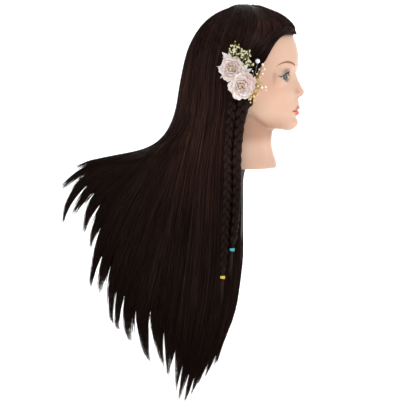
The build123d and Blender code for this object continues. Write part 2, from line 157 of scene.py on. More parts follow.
def curve_through(points, n, even=True):
    """A centripetal spline through the points, sampled n times along its length."""
    p = np.asarray(points, dtype=float)
    if len(p) == 2:
        t = np.linspace(0, 1, n)[:, None]
        return p[0] * (1 - t) + p[1] * t
    d = np.sqrt(np.linalg.norm(np.diff(p, axis=0), axis=1))
    t = np.concatenate([[0], np.cumsum(d)])
    m = np.zeros_like(p)
    for i in range(len(p)):
        if i == 0:
            m[i] = (p[1] - p[0]) / (t[1] - t[0])
        elif i == len(p) - 1:
            m[i] = (p[-1] - p[-2]) / (t[-1] - t[-2])
        else:
            a, b = t[i] - t[i - 1], t[i + 1] - t[i]
            m[i] = ((p[i] - p[i - 1]) / a * b + (p[i + 1] - p[i]) / b * a) / (a + b)

    def ev(tt):
        k = np.clip(np.searchsorted(t, tt, side="right") - 1, 0, len(p) - 2)
        h = (t[k + 1] - t[k])[:, None]
        s = ((tt - t[k]) / (t[k + 1] - t[k]))[:, None]
        return ((2 * s**3 - 3 * s**2 + 1) * p[k] + (s**3 - 2 * s**2 + s) * h * m[k]
                + (-2 * s**3 + 3 * s**2) * p[k + 1] + (s**3 - s**2) * h * m[k + 1])

    if not even:
        return ev(np.linspace(0, t[-1], n))
    fine = ev(np.linspace(0, t[-1], 400))
    L = np.concatenate([[0], np.cumsum(np.linalg.norm(np.diff(fine, axis=0), axis=1))])
    return np.stack([np.interp(np.linspace(0, L[-1], n), L, fine[:, i]) for i in range(p.shape[1])], 1)


def smooth_table(rows, col):
    """A smooth function of the rows' first column giving column col."""
    r = sorted(rows)
    z = np.array([q[0] for q in r], float)
    v = np.array([q[col] for q in r], float)
    m = np.gradient(v, z)

    def f(x):
        x = np.clip(x, z[0], z[-1])
        k = np.clip(np.searchsorted(z, x, side="right") - 1, 0, len(z) - 2)
        h = z[k + 1] - z[k]
        s = (x - z[k]) / h
        return ((2 * s**3 - 3 * s**2 + 1) * v[k] + (s**3 - 2 * s**2 + s) * h * m[k]
                + (-2 * s**3 + 3 * s**2) * v[k + 1] + (s**3 - s**2) * h * m[k + 1])

    return f


def smin(a, b, k):
    h = np.clip(0.5 + 0.5 * (b - a) / k, 0, 1)
    return b * (1 - h) + a * h - k * h * (1 - h)


def smax(a, b, k):
    return -smin(-a, -b, k)


def step(a, b, x):
    t = np.clip((x - a) / (b - a), 0, 1)
    return t * t * (3 - 2 * t)


def nets(xs, ys, zs, F):
    """Surface net of F = 0 on a rectilinear grid (inside is negative): vertices and outward quads."""
    inside = F < 0
    nx, ny, nz = F.shape
    c = np.zeros((nx - 1, ny - 1, nz - 1), np.int8)
    for i in (0, 1):
        for j in (0, 1):
            for k in (0, 1):
                c += inside[i:nx - 1 + i, j:ny - 1 + j, k:nz - 1 + k]
    active = (c > 0) & (c < 8)
    ids = -np.ones(active.shape, np.int64)
    I, J, K = np.nonzero(active)
    ids[I, J, K] = np.arange(len(I))
    acc = np.zeros((len(I), 3))
    cnt = np.zeros(len(I))
    corner = {}
    for i in (0, 1):
        for j in (0, 1):
            for k in (0, 1):
                corner[i, j, k] = (F[I + i, J + j, K + k], np.stack([xs[I + i], ys[J + j], zs[K + k]], 1))
    for a in corner:
        for ax in range(3):
            if a[ax]:
                continue
            b = tuple(1 if q == ax else a[q] for q in range(3))
            fa, pa = corner[a]
            fb, pb = corner[b]
            cross = (fa < 0) != (fb < 0)
            t = np.where(cross, fa / np.where(cross, fa - fb, 1), 0)[:, None]
            acc += np.where(cross[:, None], pa + (pb - pa) * t, 0)
            cnt += cross
    V = acc / cnt[:, None]
    quads = []
    for ax in range(3):
        sl0 = [slice(1, n - 1) for n in (nx, ny, nz)]
        sl0[ax] = slice(0, (nx, ny, nz)[ax] - 1)
        sl1 = list(sl0)
        sl1[ax] = slice(1, (nx, ny, nz)[ax])
        A, B = inside[tuple(sl0)], inside[tuple(sl1)]
        ch = A != B
        idx = np.argwhere(ch)
        if not len(idx):
            continue
        g = idx + np.array([0 if q == ax else 1 for q in range(3)])
        u, v = [(1, 2), (2, 0), (0, 1)][ax]
        eu = np.zeros(3, int)
        ev = np.zeros(3, int)
        eu[u] = 1
        ev[v] = 1
        c00, c10, c11, c01 = g - eu - ev, g - ev, g, g - eu
        q = np.stack([ids[tuple(x.T)] for x in (c00, c10, c11, c01)], 1)
        flip = ~A[tuple(idx.T)]
        q[flip] = q[flip][:, ::-1]
        quads.append(q)
    Q = np.concatenate(quads)
    return V, Q[(Q >= 0).all(1)]


# ------------------------------------------------------------------ materials
def material(name, colour, rough=0.5, **more):
    m = bpy.data.materials.new(name)
    m.use_nodes = True
    b = m.node_tree.nodes["Principled BSDF"]
    b.inputs["Base Color"].default_value = (*colour, 1)
    b.inputs["Roughness"].default_value = rough
    for k, v in more.items():
        key = {"metal": "Metallic", "spec": "Specular IOR Level", "coat": "Coat Weight", "coat_rough": "Coat Roughness",
               "sheen": "Sheen Weight", "sss": "Subsurface Weight", "ior": "IOR", "glass": "Transmission Weight",
               "alpha": "Alpha", "aniso": "Anisotropic", "sheen_rough": "Sheen Roughness"}[k]
        b.inputs[key].default_value = v
    return m, m.node_tree, b


def node(nt, kind, **values):
    n = nt.nodes.new(kind)
    for k, v in values.items():
        if k.startswith("_"):
            setattr(n, k[1:], v)
        else:
            n.inputs[k].default_value = v
    return n


def mix(nt, fac, a, b):
    """Colour mix; fac may be a socket or a number, a and b a socket or a colour."""
    n = nt.nodes.new("ShaderNodeMix")
    n.data_type = "RGBA"
    for sock, v in ((n.inputs[0], fac), (n.inputs[6], a), (n.inputs[7], b)):
        if isinstance(v, bpy.types.NodeSocket):
            nt.links.new(v, sock)
        elif isinstance(v, (tuple, list)):
            sock.default_value = (*v, 1) if len(v) == 3 else v
        else:
            sock.default_value = v
    return n.outputs[2]


def maths(nt, op, a, b=None, c=None, clamp=False):
    n = nt.nodes.new("ShaderNodeMath")
    n.operation = op
    n.use_clamp = clamp
    for s, v in zip(n.inputs, (a, b, c)):
        if v is None:
            continue
        if isinstance(v, bpy.types.NodeSocket):
            nt.links.new(v, s)
        else:
            s.default_value = v
    return n.outputs[0]


def noise(nt, scale, detail=2.0, rough=0.5, vector=None):
    n = node(nt, "ShaderNodeTexNoise", Scale=scale, Detail=detail, Roughness=rough)
    if vector is None:
        vector = node(nt, "ShaderNodeTexCoord").outputs["Object"]
    nt.links.new(vector, n.inputs["Vector"])
    return n.outputs[0]


def ramp(nt, fac, stops):
    n = nt.nodes.new("ShaderNodeValToRGB")
    e = n.color_ramp.elements
    while len(e) < len(stops):
        e.new(0.5)
    for el, (p, c) in zip(e, stops):
        el.position = p
        el.color = (*c, 1) if len(c) == 3 else c
    nt.links.new(fac, n.inputs[0])
    return n.outputs[0]


def bump(nt, bsdf, height, strength, distance):
    n = node(nt, "ShaderNodeBump", Strength=strength, Distance=distance)
    nt.links.new(height, n.inputs["Height"])
    nt.links.new(n.outputs[0], bsdf.inputs["Normal"])


def srgb(r, g, b):
    return tuple(((c / 255) / 12.92 if c / 255 <= 0.04045 else (((c / 255) + 0.055) / 1.055) ** 2.4) for c in (r, g, b))


# floor and backdrop: one pale sweep, kept well below the hair
FLOOR_Z = CAD_LO[2] / MM - 14
sweep = [(-4000, FLOOR_Z), (1500, FLOOR_Z)] + [
    (1500 + 900 * math.sin(a), FLOOR_Z + 900 * (1 - math.cos(a))) for a in np.linspace(0.1, math.pi / 2, 12)] + [(2400, 4000)]
bv, bf = [], []
ca, sa = math.cos(AZ + math.pi / 2), math.sin(AZ + math.pi / 2)
for i, (d, z) in enumerate(sweep):
    for s in (-6000, 6000):
        bv.append((d * ca - s * sa, d * sa + s * ca, z))
    if i:
        bf.append((2 * i - 2, 2 * i - 1, 2 * i + 1, 2 * i))
back_m, nt, b = material("backdrop", (0.93, 0.93, 0.93), 0.9, spec=0.0)
nt.links.new(ramp(nt, noise(nt, 1.5), [(0.3, (0.925, 0.925, 0.925)), (0.7, (0.935, 0.935, 0.935))]), b.inputs["Base Color"])
b.inputs["Emission Color"].default_value = (1, 1, 1, 1)
b.inputs["Emission Strength"].default_value = 0.42
# seen from behind, the sweep is clear
geo = nt.nodes.new("ShaderNodeNewGeometry")
clear = nt.nodes.new("ShaderNodeBsdfTransparent")
either = nt.nodes.new("ShaderNodeMixShader")
nt.links.new(geo.outputs["Backfacing"], either.inputs[0])
nt.links.new(b.outputs[0], either.inputs[2])
nt.links.new(clear.outputs[0], either.inputs[1])
out_ = [n for n in nt.nodes if n.type == "OUTPUT_MATERIAL"][0]
nt.links.new(either.outputs[0], out_.inputs["Surface"])
me = bpy.data.meshes.new("backdrop")
me.from_pydata([tuple(np.array(v) * MM) for v in bv], [], bf)
me.materials.append(back_m)
me.polygons.foreach_set("use_smooth", [True] * len(me.polygons))
backdrop = bpy.data.objects.new("backdrop", me)
scene.collection.objects.link(backdrop)

# ------------------------------------------------------------------ the head's vinyl face and neck
#   height, forward reach of the front, forward reach of the back, half width
HEAD = [(40, 80, 40, 26), (60, 87, 40, 31), (70, 91, 20, 37.5), (80, 94, 0, 43.5), (90, 95.5, -25, 49), (104, 97.3, -50, 56.5),
        (120, 98.0, -64, 61), (140, 97.3, -76, 65.5), (156, 96.2, -82, 68.5), (170, 97.6, -85, 70.5), (182, 99.0, -86, 71.5),
        (193, 99.8, -84, 72), (205, 98.3, -80, 71.5), (216, 95.3, -74, 69.5), (227, 91.0, -67, 66), (240, 82, -58, 60),
        (252, 68, -48, 50)]
NECK = [(-2, 61.5, -60, 59), (6, 61.8, -60, 59), (14, 60.2, -58.5, 57.5), (24, 57, -56, 54), (36, 54.2, -54, 51),
        (50, 53.6, -54, 49.5), (66, 55, -58, 49.5), (90, 52, -64, 49), (128, 40, -66, 46)]


def egg(rows, x, f, z, k, p=2.0):
    """Approximate distance to a stack of egg-shaped levels; f is the forward reach."""
    ff, fb, w = (smooth_table(rows, c)(z) for c in (1, 2, 3))
    yc, d = (ff + fb) / 2, (ff - fb) / 2
    q = np.clip((f - yc) / d, -1.2, 1.2)
    ww = w * (1 - k * q)
    r = (np.abs(x / ww) ** p + np.abs((f - yc) / d) ** p) ** (1 / p)
    return (r - 1) * np.minimum(ww, d) * 0.92


def ellipsoid(x, f, z, c, r):
    q = np.sqrt(((x - c[0]) / r[0]) ** 2 + ((f - c[1]) / r[1]) ** 2 + ((z - c[2]) / r[2]) ** 2)
    return (q - 1) * min(r)


def capsule(x, f, z, a, b, ra, rb=None):
    a, b = np.array(a, float), np.array(b, float)
    rb = ra if rb is None else rb
    d = b - a
    h = np.clip(((x - a[0]) * d[0] + (f - a[1]) * d[1] + (z - a[2]) * d[2]) / (d @ d), 0, 1)
    return np.sqrt((x - a[0] - d[0] * h) ** 2 + (f - a[1] - d[1] * h) ** 2 + (z - a[2] - d[2] * h) ** 2) - (ra + (rb - ra) * h)


def blob(x, f, z, c, s):
    return np.exp(-(((x - c[0]) / s[0]) ** 2 + ((f - c[1]) / s[1]) ** 2 + ((z - c[2]) / s[2]) ** 2))


EYE = (31.5, 71.2, 157.5)      # eyeball centre: to the side, forward, height
EYE_R = 17.4


def lid_up(x):
    t = (x - 17.0) / 30.5
    return 155.6 + 9.2 * np.sin(np.pi * np.clip(t, 0, 1) ** 0.85) ** 0.75 + 1.8 * t


def lid_low(x):
    t = (x - 17.0) / 30.5
    return 155.6 - 6.0 * np.sin(np.pi * np.clip(t, 0, 1) ** 1.15) ** 0.9 + 1.8 * t


def lip_up_c(x):
    a = np.abs(x)
    return 98.7 - a**2 / 52, 104.3 + 0.9 * np.exp(-((a - 4.6) / 3.2) ** 2) - a**2 * 0.0125, 4.7 * np.clip(1 - (a / 18.0) ** 2.2, 0.02, 1) ** 0.62


def lip_low_c(x):
    a = np.abs(x)
    return 97.6 - a**2 / 50, 95.6 + a**2 * 0.0080, 5.0 * np.clip(1 - (a / 16.5) ** 2.4, 0.02, 1) ** 0.6


def lip_dist(x, f, z, which):
    fc, zc, r = which(x)
    return np.sqrt((f - fc) ** 2 + ((z - zc) * 1.05) ** 2) - r + 0.9 * np.maximum(np.abs(x) - 18.0, 0)


def head_distance(x, f, z):
    """The outer skin, x to either side (symmetric), f forward."""
    x = np.abs(x)
    d = egg(HEAD, x, f, z, 0.13, 2.12)
    # cheeks, brow, temples and jaw
    d = d - 3.0 * blob(x, f, z, (45, 80, 139), (17, 22, 15)) - 2.4 * blob(x, f, z, (31, 94, 128), (16, 14, 14))
    d = d - 1.8 * blob(x, f, z, (27, 96, 176), (17, 12, 7)) + 3.2 * blob(x, f, z, (68, 55, 180), (14, 26, 20))
    d = d + 2.2 * blob(x, f, z, (42, 84, 108), (13, 16, 14)) + 4.6 * blob(x, f, z, (29, 97, 161), (15, 13, 9.5))
    d = d + 2.0 * blob(x, f, z, (14, 100, 152), (6, 12, 12)) + 1.0 * blob(x, f, z, (0, 100, 160), (8, 12, 8))
    # underside of the jaw
    zb = np.interp(f, [-30, 0, 14, 27, 40, 52, 66, 88, 100], [118, 109, 101, 90, 79, 72, 69, 68, 69])
    d = smax(d, (zb + 0.10 * x - 2 - z) * 0.85, 11)
    d = smin(d, ellipsoid(x, f, z, (0, 85.6, 79.2), (16, 13.6, 11.6)), 8)
    d = smin(d, ellipsoid(x, f, z, (0, 86.5, 105), (21, 13.6, 21)), 6)
    # nose
    nose = smin(capsule(x, f, z, (0, 92.6, 158), (0, 98.6, 143), 5.0, 5.0), capsule(x, f, z, (0, 98.6, 143), (0, 104.7, 131.4), 5.0, 6.2), 4)
    nose = smin(nose, ellipsoid(x, f, z, (8.6, 96.8, 127.2), (4.9, 7.6, 5.2)), 3.4)
    nose = smin(nose, capsule(x, f, z, (0, 104.6, 127.6), (0, 98.5, 121.8), 3.1, 2.6), 2.6)
    d = smin(d, nose, 4.2)
    d = smax(d, -ellipsoid(x, f, z, (5.0, 101.2, 122.9), (2.3, 4.2, 3.0)), 1.6)
    d = d + 1.5 * blob(x, f, z, (0, 102, 114), (2.4, 8, 5.5)) - 0.7 * blob(x, f, z, (4.4, 102, 113), (2, 8, 5.5))
    # mouth
    d = d + 1.8 * blob(x, f, z, (0, 97, 87.6), (13, 9, 3.6))
    lips = smin(lip_dist(x, f, z, lip_up_c), lip_dist(x, f, z, lip_low_c), 0.5)
    d = smin(d, lips, 1.7)
    d = d + 1.7 * np.exp(-((z - 99.6 + 0.0035 * x**2) / 0.9) ** 2) * step(19, 14, x) * step(80, 88, f)
    d = d + 1.0 * blob(x, f, z, (18.5, 92, 99.4), (3.0, 8, 3.0))
    # eyelids over the eyeball, with the almond opening
    ball = np.sqrt((x - EYE[0]) ** 2 + (f - EYE[1]) ** 2 + (z - EYE[2]) ** 2)
    lid = smax(ball - (EYE_R + 1.5), -(f - 70), 4)
    d = smin(d, lid, 2.6 + 5.0 * step(40, 48, x))
    crease = np.abs(z - (lid_up(x) + 4.3)) / 1.1
    d = d + 0.9 * np.exp(-crease**2) * step(13, 19, x) * step(53, 47, x) * step(66, 76, f)
    opening = smax(z - lid_up(x), lid_low(x) - z, 0.6)
    opening = np.maximum(opening, np.maximum(17.2 - x, x - 47.4))
    d = smax(d, -np.maximum(opening * 0.9, 70 - f), 0.7)
    # neck
    n = egg(NECK, x, f, z, 0.0)
    n = n + 1.2 * blob(x, f, z, (17, 55, 40), (7, 12, 26)) - 1.0 * blob(x, f, z, (30, 46, 42), (8, 14, 30))
    n = smax(n, z - 120, 6)
    return smin(d, n, 9 + 14 * step(44, 12, f))


def build_face():
    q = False
    s = 1.6 if q else 1.0
    xs = np.concatenate([np.arange(-1.5 * s, 52, 1.0 * s), np.arange(52, 76, 1.7 * s)])
    fs = np.concatenate([np.arange(-14, 60, 2.6 * s), np.arange(60, 114, 1.0 * s)])
    zs = np.concatenate([np.arange(-3.0, 58, 2.2 * s), np.arange(58, 186, 1.0 * s), np.arange(186, 240, 2.0 * s)])
    X, F, Z = np.meshgrid(xs, fs, zs, indexing="ij")

    def solid(X, F, Z):
        d = head_distance(X, F, Z)
        # cut off under the hair, a little behind the hairline
        back = np.interp(Z, [0, 55, 90, 120, 150, 185, 205, 222, 236], [-6, -6, 4, 8, 14, 26, 42, 66, 76])
        d = smax(d, back - F, 2.0)
        d = smax(d, Z - 232, 2.0)
        # flat base with a soft edge, and the room for the plug
        d = smax(d, -Z, 1.4)
        plug = (np.sqrt((X / 53.0) ** 2 + (F / 55.0) ** 2) - 1) * 53.0
        d = np.maximum(d, -np.maximum(plug, Z - 12))
        return d

    D = solid(X, F, Z).astype(np.float64)
    V, Q = nets(xs, fs, zs, D)
    # refine onto the surface
    for _ in range(3):
        e = 0.15
        d0 = solid(V[:, 0], V[:, 1], V[:, 2])
        g = np.stack([(solid(V[:, 0] + e * (i == 0), V[:, 1] + e * (i == 1), V[:, 2] + e * (i == 2)) - d0) / e for i in range(3)], 1)
        n = np.linalg.norm(g, axis=1)
        stepv = g / np.maximum(n, 0.3)[:, None] ** 2 * d0[:, None]
        ln = np.linalg.norm(stepv, axis=1)
        stepv *= np.minimum(1, 0.5 / np.maximum(ln, 1e-9))[:, None]
        V = V - stepv
    # weld the half at the middle plane and mirror it
    keep = V[:, 0] > 0.0
    # vertices left of the plane are snapped onto it, faces wholly there are dropped
    side = V[:, 0] <= 0.35 * s
    V[side, 0] = 0.0
    qs = side[Q].all(1)
    Q = Q[~qs]
    used = np.unique(Q)
    remap = -np.ones(len(V), int)
    remap[used] = np.arange(len(used))
    V, Q = V[used], remap[Q]
    mid = V[:, 0] == 0.0
    n = len(V)
    other = np.where(mid, np.arange(n), n + np.cumsum(~mid) - 1)
    VV = np.concatenate([V, V[~mid] * [-1, 1, 1]])
    QQ = np.concatenate([Q, other[Q][:, ::-1]])
    # to the row frame: forward is -Y; the swap of sides keeps faces outward
    W = np.stack([VV[:, 0], -VV[:, 1], VV[:, 2]], 1)
    return W, QQ[:, ::-1]


W, Q = build_face()
x, f, z = W[:, 0], -W[:, 1], W[:, 2]
ax = np.abs(x)

# skin: painted vinyl with soft colour from masks worked out on the shape, one of them painted shade under the jaw and
# at the foot of the neck
skin, nt, bs = material("painted_vinyl", (0.8, 0.6, 0.5), 0.42, spec=0.35, sss=0.08, coat=0.06, coat_rough=0.35)
bs.inputs["Subsurface Radius"].default_value = (0.004, 0.0018, 0.001)


def mask(name):
    n = nt.nodes.new("ShaderNodeAttribute")
    n.attribute_name = name
    return n.outputs["Fac"]


tone = noise(nt, 45, 3)
base = mix(nt, maths(nt, "MULTIPLY", tone, 0.35), srgb(222, 184, 160), srgb(206, 163, 138))
# painted shade: darker on the neck under the jaw and towards the foot of the neck
base = mix(nt, mask("shade"), base, srgb(172, 128, 104))
base = mix(nt, mask("blush"), base, srgb(222, 152, 134))
base = mix(nt, mask("shadow"), base, srgb(112, 112, 120))
base = mix(nt, mask("lip"), base, srgb(204, 112, 102))
base = mix(nt, mask("lip_line"), base, srgb(138, 66, 60))
base = mix(nt, mask("brow"), base, srgb(112, 70, 48))
base = mix(nt, mask("liner"), base, srgb(38, 30, 32))
nt.links.new(base, bs.inputs["Base Color"])
rough = maths(nt, "MULTIPLY_ADD", noise(nt, 500, 4), 0.16, 0.36)
rough = maths(nt, "SUBTRACT", rough, maths(nt, "MULTIPLY", mask("lip"), 0.18))
nt.links.new(rough, bs.inputs["Roughness"])
bump(nt, bs, noise(nt, 1400, 3), 0.10, 0.0003)

face = make("vinyl_face", W, Q, skin, "head", ("face_shell",))
up, low = lip_dist(ax, f, z, lip_up_c), lip_dist(ax, f, z, lip_low_c)
lipm = step(1.1, 0.1, np.minimum(up, low)) * (f > 84) * step(18.5, 16.0, ax)
attribute(face, "lip", lipm)
attribute(face, "lip_line", 0.6 * np.exp(-((z - 99.6 + 0.0035 * x**2) / 0.75) ** 2) * (f > 84) * step(17.5, 13, ax))
attribute(face, "blush", 0.24 * np.exp(-(((ax - 50) / 19) ** 2 + ((z - 139) / 20) ** 2)) * step(30, 55, f)
          + 0.30 * blob(ax, f, z, (0, 108, 128), (15, 14, 9)) + 0.2 * blob(ax, f, z, (0, 96, 76), (16, 14, 10))
          + 0.5 * blob(ax, f, z, (6, 101, 123), (5, 6, 3)))
eye_r = np.sqrt(((ax - 32) / 19) ** 2 + ((z - (lid_up(ax) + 2.6)) / 6.2) ** 2)
attribute(face, "shadow", 0.62 * step(1.25, 0.2, eye_r) * step(64, 74, f) * step(-1, 1.5, z - lid_up(ax))
          + 0.25 * np.exp(-((z - lid_low(ax) + 1.5) / 1.6) ** 2) * step(18, 24, ax) * step(50, 42, ax) * (f > 62))
attribute(face, "liner", np.clip(1.0 * np.exp(-((z - lid_up(np.minimum(ax, 47.0)) - 0.5 - 0.25 * np.maximum(ax - 45, 0)) / (0.9 + 0.5 * step(26, 40, ax))) ** 2) * step(17, 20, ax) * step(51.0, 48.0, ax) * step(70, 75, f)
          + 0.45 * np.exp(-((z - lid_low(ax) + 0.3) / 0.6) ** 2) * step(24, 34, ax) * step(49, 46, ax) * step(70, 75, f), 0, 1))
bx = np.array([47.5, 42.5, 36, 28, 20, 13.5])
bz = np.array([177.2, 181.6, 184.0, 183.4, 180.2, 176.6])
bw = np.array([0.5, 0.9, 1.25, 1.5, 1.7, 1.3])
o = np.argsort(bx)
zc = smooth_table(list(zip(bx, bz, bw)), 1)(ax)
wc = np.interp(ax, bx[o], bw[o])
attribute(face, "brow", 0.88 * step(1.9, 0.5, np.abs(z - zc) / wc) * step(12.5, 16, ax) * step(48.5, 44, ax) * (f > 50))
under = step(76, 60, z) * 0.0
# painted shade under the jaw line, with a lighter painted shade towards the foot of the neck
attribute(face, "shade", 0.75 * step(36, 60, z) * step(98, 66, z - 0.62 * np.maximum(46 - f, 0)) * step(98, 72, f) + 0.35 * step(30, 2, z) * 0.6)

# eyes: painted, glossy eyeballs
eye_m, nt, bs = material("painted_eye", (0.9, 0.9, 0.9), 0.12, coat=0.8, coat_rough=0.05)
co = node(nt, "ShaderNodeTexCoord").outputs["UV"]
dist = node(nt, "ShaderNodeVectorMath", _operation="DISTANCE")
nt.links.new(co, dist.inputs[0])
dist.inputs[1].default_value = (0.5, 0.5, 0.0)
rr = dist.outputs["Value"]
n1 = node(nt, "ShaderNodeTexNoise", Scale=34.0, Detail=3.0)
nt.links.new(co, n1.inputs["Vector"])
rr2 = maths(nt, "ADD", rr, maths(nt, "MULTIPLY", maths(nt, "SUBTRACT", n1.outputs[0], 0.5), 0.03))
col = ramp(nt, rr2, [(0.0, srgb(6, 5, 6)), (0.095, srgb(8, 7, 8)), (0.118, srgb(48, 36, 30)), (0.180, srgb(74, 62, 56)),
                     (0.222, srgb(28, 24, 26)), (0.250, srgb(20, 18, 21)), (0.272, srgb(222, 216, 212)), (0.46, srgb(202, 186, 180))])
nt.links.new(col, bs.inputs["Base Color"])
for s, nm in ((-1, "eye_right"), (1, "eye_left")):
    vv, ff, uv = [], [], []
    rings, seg = 22, 40
    vv.append((s * EYE[0], -EYE[1] - EYE_R - 0.5, EYE[2]))
    uv.append((0.5, 0.5))
    for i in range(1, rings + 1):
        a = math.radians(75) * i / rings
        extra = 0.5 * max(0, 1 - a / 0.45) ** 0.5
        for j in range(seg):
            t = 2 * math.pi * j / seg
            vv.append((s * (EYE[0] + EYE_R * math.sin(a) * math.cos(t)), -EYE[1] - (EYE_R + extra) * math.cos(a), EYE[2] + EYE_R * math.sin(a) * math.sin(t)))
            uv.append((0.5 + 0.5 * a / math.radians(75) * math.cos(t), 0.5 + 0.5 * a / math.radians(75) * math.sin(t)))
    for j in range(seg):
        ff.append((0, 1 + j, 1 + (j + 1) % seg))
        for i in range(rings - 1):
            p, q2 = 1 + i * seg, 1 + (i + 1) * seg
            ff.append((p + j, q2 + j, q2 + (j + 1) % seg, p + (j + 1) % seg))
    cap = len(vv)
    vv.append((s * EYE[0], -EYE[1] + 2, EYE[2]))
    uv.append((0.5, 0.99))
    last = 1 + (rings - 1) * seg
    for j in range(seg):
        ff.append((last + j, cap, last + (j + 1) % seg))
    if s > 0:
        ff = [g[::-1] for g in ff]
    vv = np.array(vv)
    turn = s * math.radians(9)
    vx, vy = vv[:, 0] - s * EYE[0], vv[:, 1] + EYE[1]
    vv[:, 0] = s * EYE[0] + vx * math.cos(turn) - vy * math.sin(turn)
    vv[:, 1] = -EYE[1] + vx * math.sin(turn) + vy * math.cos(turn)
    e = make(nm, vv, ff, eye_m, "head")
    lay = e.data.uv_layers.new(name="OFBake")
    li = np.zeros(len(e.data.loops), np.int32)
    e.data.loops.foreach_get("vertex_index", li)
    lay.data.foreach_set("uv", np.asarray(uv, np.float32)[li].ravel())

# ------------------------------------------------------------------ hair: the shape it lies on
CROWN = [(100, 92, -112, 76), (120, 100, -107, 77.5), (140, 104, -105, 79), (160, 107, -100, 80), (182, 109, -96, 80.5),
         (205, 106, -89.5, 80.5), (222, 99, -81, 77), (236, 93, -73, 71), (250, 85.5, -61, 62), (262, 72, -47, 49),
         (272, 50, -25, 31), (277, 36, -8, 18), (279, 30, 0, 12)]
SHOULDER = [(15, 92, -190, 84), (36, 92, -152, 82), (60, 92, -128, 79), (100, 92, -112, 76)]
FALL_W = [(100, 75.5), (60, 73), (0, 70), (-100, 64), (-200, 54), (-300, 38), (-404, 12)]
FALL_TOP = [(-60, 76), (120, 76), (180, 60), (250, 42), (320, 12)]
OUTLINE = [(-29, 140), (-29, 100), (-19, 67), (-15, 30), (-14, -60), (-15, -110), (-11, -155), (-7, -190), (1, -242), (10, -273),
           (24, -297), (40, -330), (61, -362), (84, -388), (101, -405), (118, -400), (134, -362), (163, -338), (199, -300),
           (221, -283), (256, -228), (268, -208), (276, -142), (290, -116), (315, -102), (319, -34), (298, -5), (268, 7),
           (208, 18.5), (163, 28), (146, 39), (134, 50), (122, 70), (115, 90), (113, 100), (112, 140)]
_cff, _cfb, _cw = (smooth_table(CROWN, c) for c in (1, 2, 3))
_sfb, _sw = (smooth_table(SHOULDER, c) for c in (2, 3))
_fw = smooth_table(FALL_W, 1)
_ft = smooth_table(FALL_TOP, 1)


def outline_depth(y, z, poly=OUTLINE):
    """How far inside the side-view outline a point is; 0 or less outside."""
    p = np.array(poly, float)
    q = np.roll(p, -1, axis=0)
    best = np.full(y.shape, 1e9)
    inside = np.zeros(y.shape, bool)
    for (ay, az), (by, bz) in zip(p, q):
        dy, dz = by - ay, bz - az
        t = np.clip(((y - ay) * dy + (z - az) * dz) / (dy * dy + dz * dz), 0, 1)
        best = np.minimum(best, np.hypot(y - ay - dy * t, z - az - dz * t))
        if az != bz:
            hit = ((az > z) != (bz > z)) & (y < (by - ay) * (z - az) / (bz - az) + ay)
            inside ^= hit
    return np.where(inside, best, -best)


def crown_half(y, z):
    ff, fb, w = _cff(z), _cfb(z), _cw(z)
    yc, d = -(ff + fb) / 2, (ff - fb) / 2
    c = np.clip((yc - y) / d, -1, 1)
    return w * np.sqrt(np.maximum(1 - c * c, 0)) * (1 - 0.10 * c)


def half_width(y, z):
    """Half width of the hair at a place in the side view."""
    up = crown_half(y, np.maximum(z, 100.0))
    up = np.where(z > 279, up * np.clip((281 - z) / 2, 0, 1), up)
    sy = -(92 + _sfb(z)) / 2
    sd = (92 - _sfb(z)) / 2
    sh = _sw(z) * np.sqrt(np.maximum(1 - np.clip((y - sy) / sd, -1, 1) ** 2, 0))
    low = np.minimum(_fw(np.minimum(z, 100)), _ft(y))
    low = np.where(z > 15, np.minimum(low, sh + 60 * step(36, 15, z)), low)
    dep = np.clip(outline_depth(y, z) / 24.0, 0, 1)
    rnd = np.sqrt(1 - (1 - dep) ** 2)
    core = (22 + 0.5 * np.maximum(low - 22, 0)) * step(80, 45, y) * step(70, 20, z) * np.clip(low / 40, 0, 1)
    low = core + (low - core) * rnd
    k = step(86, 116, z)
    return low * (1 - k) + up * k


def onto(px, py, side=-1.0):
    """The point of the near side's hair surface that a picture position shows, as (Y, Z)."""
    x = -55.0
    for _ in range(24):
        p = at(px, py, x)
        s = float(half_width(np.array([p[1]]), np.array([p[2]]))[0])
        x = 0.6 * x + 0.4 * (-s)
    return p[1], p[2]


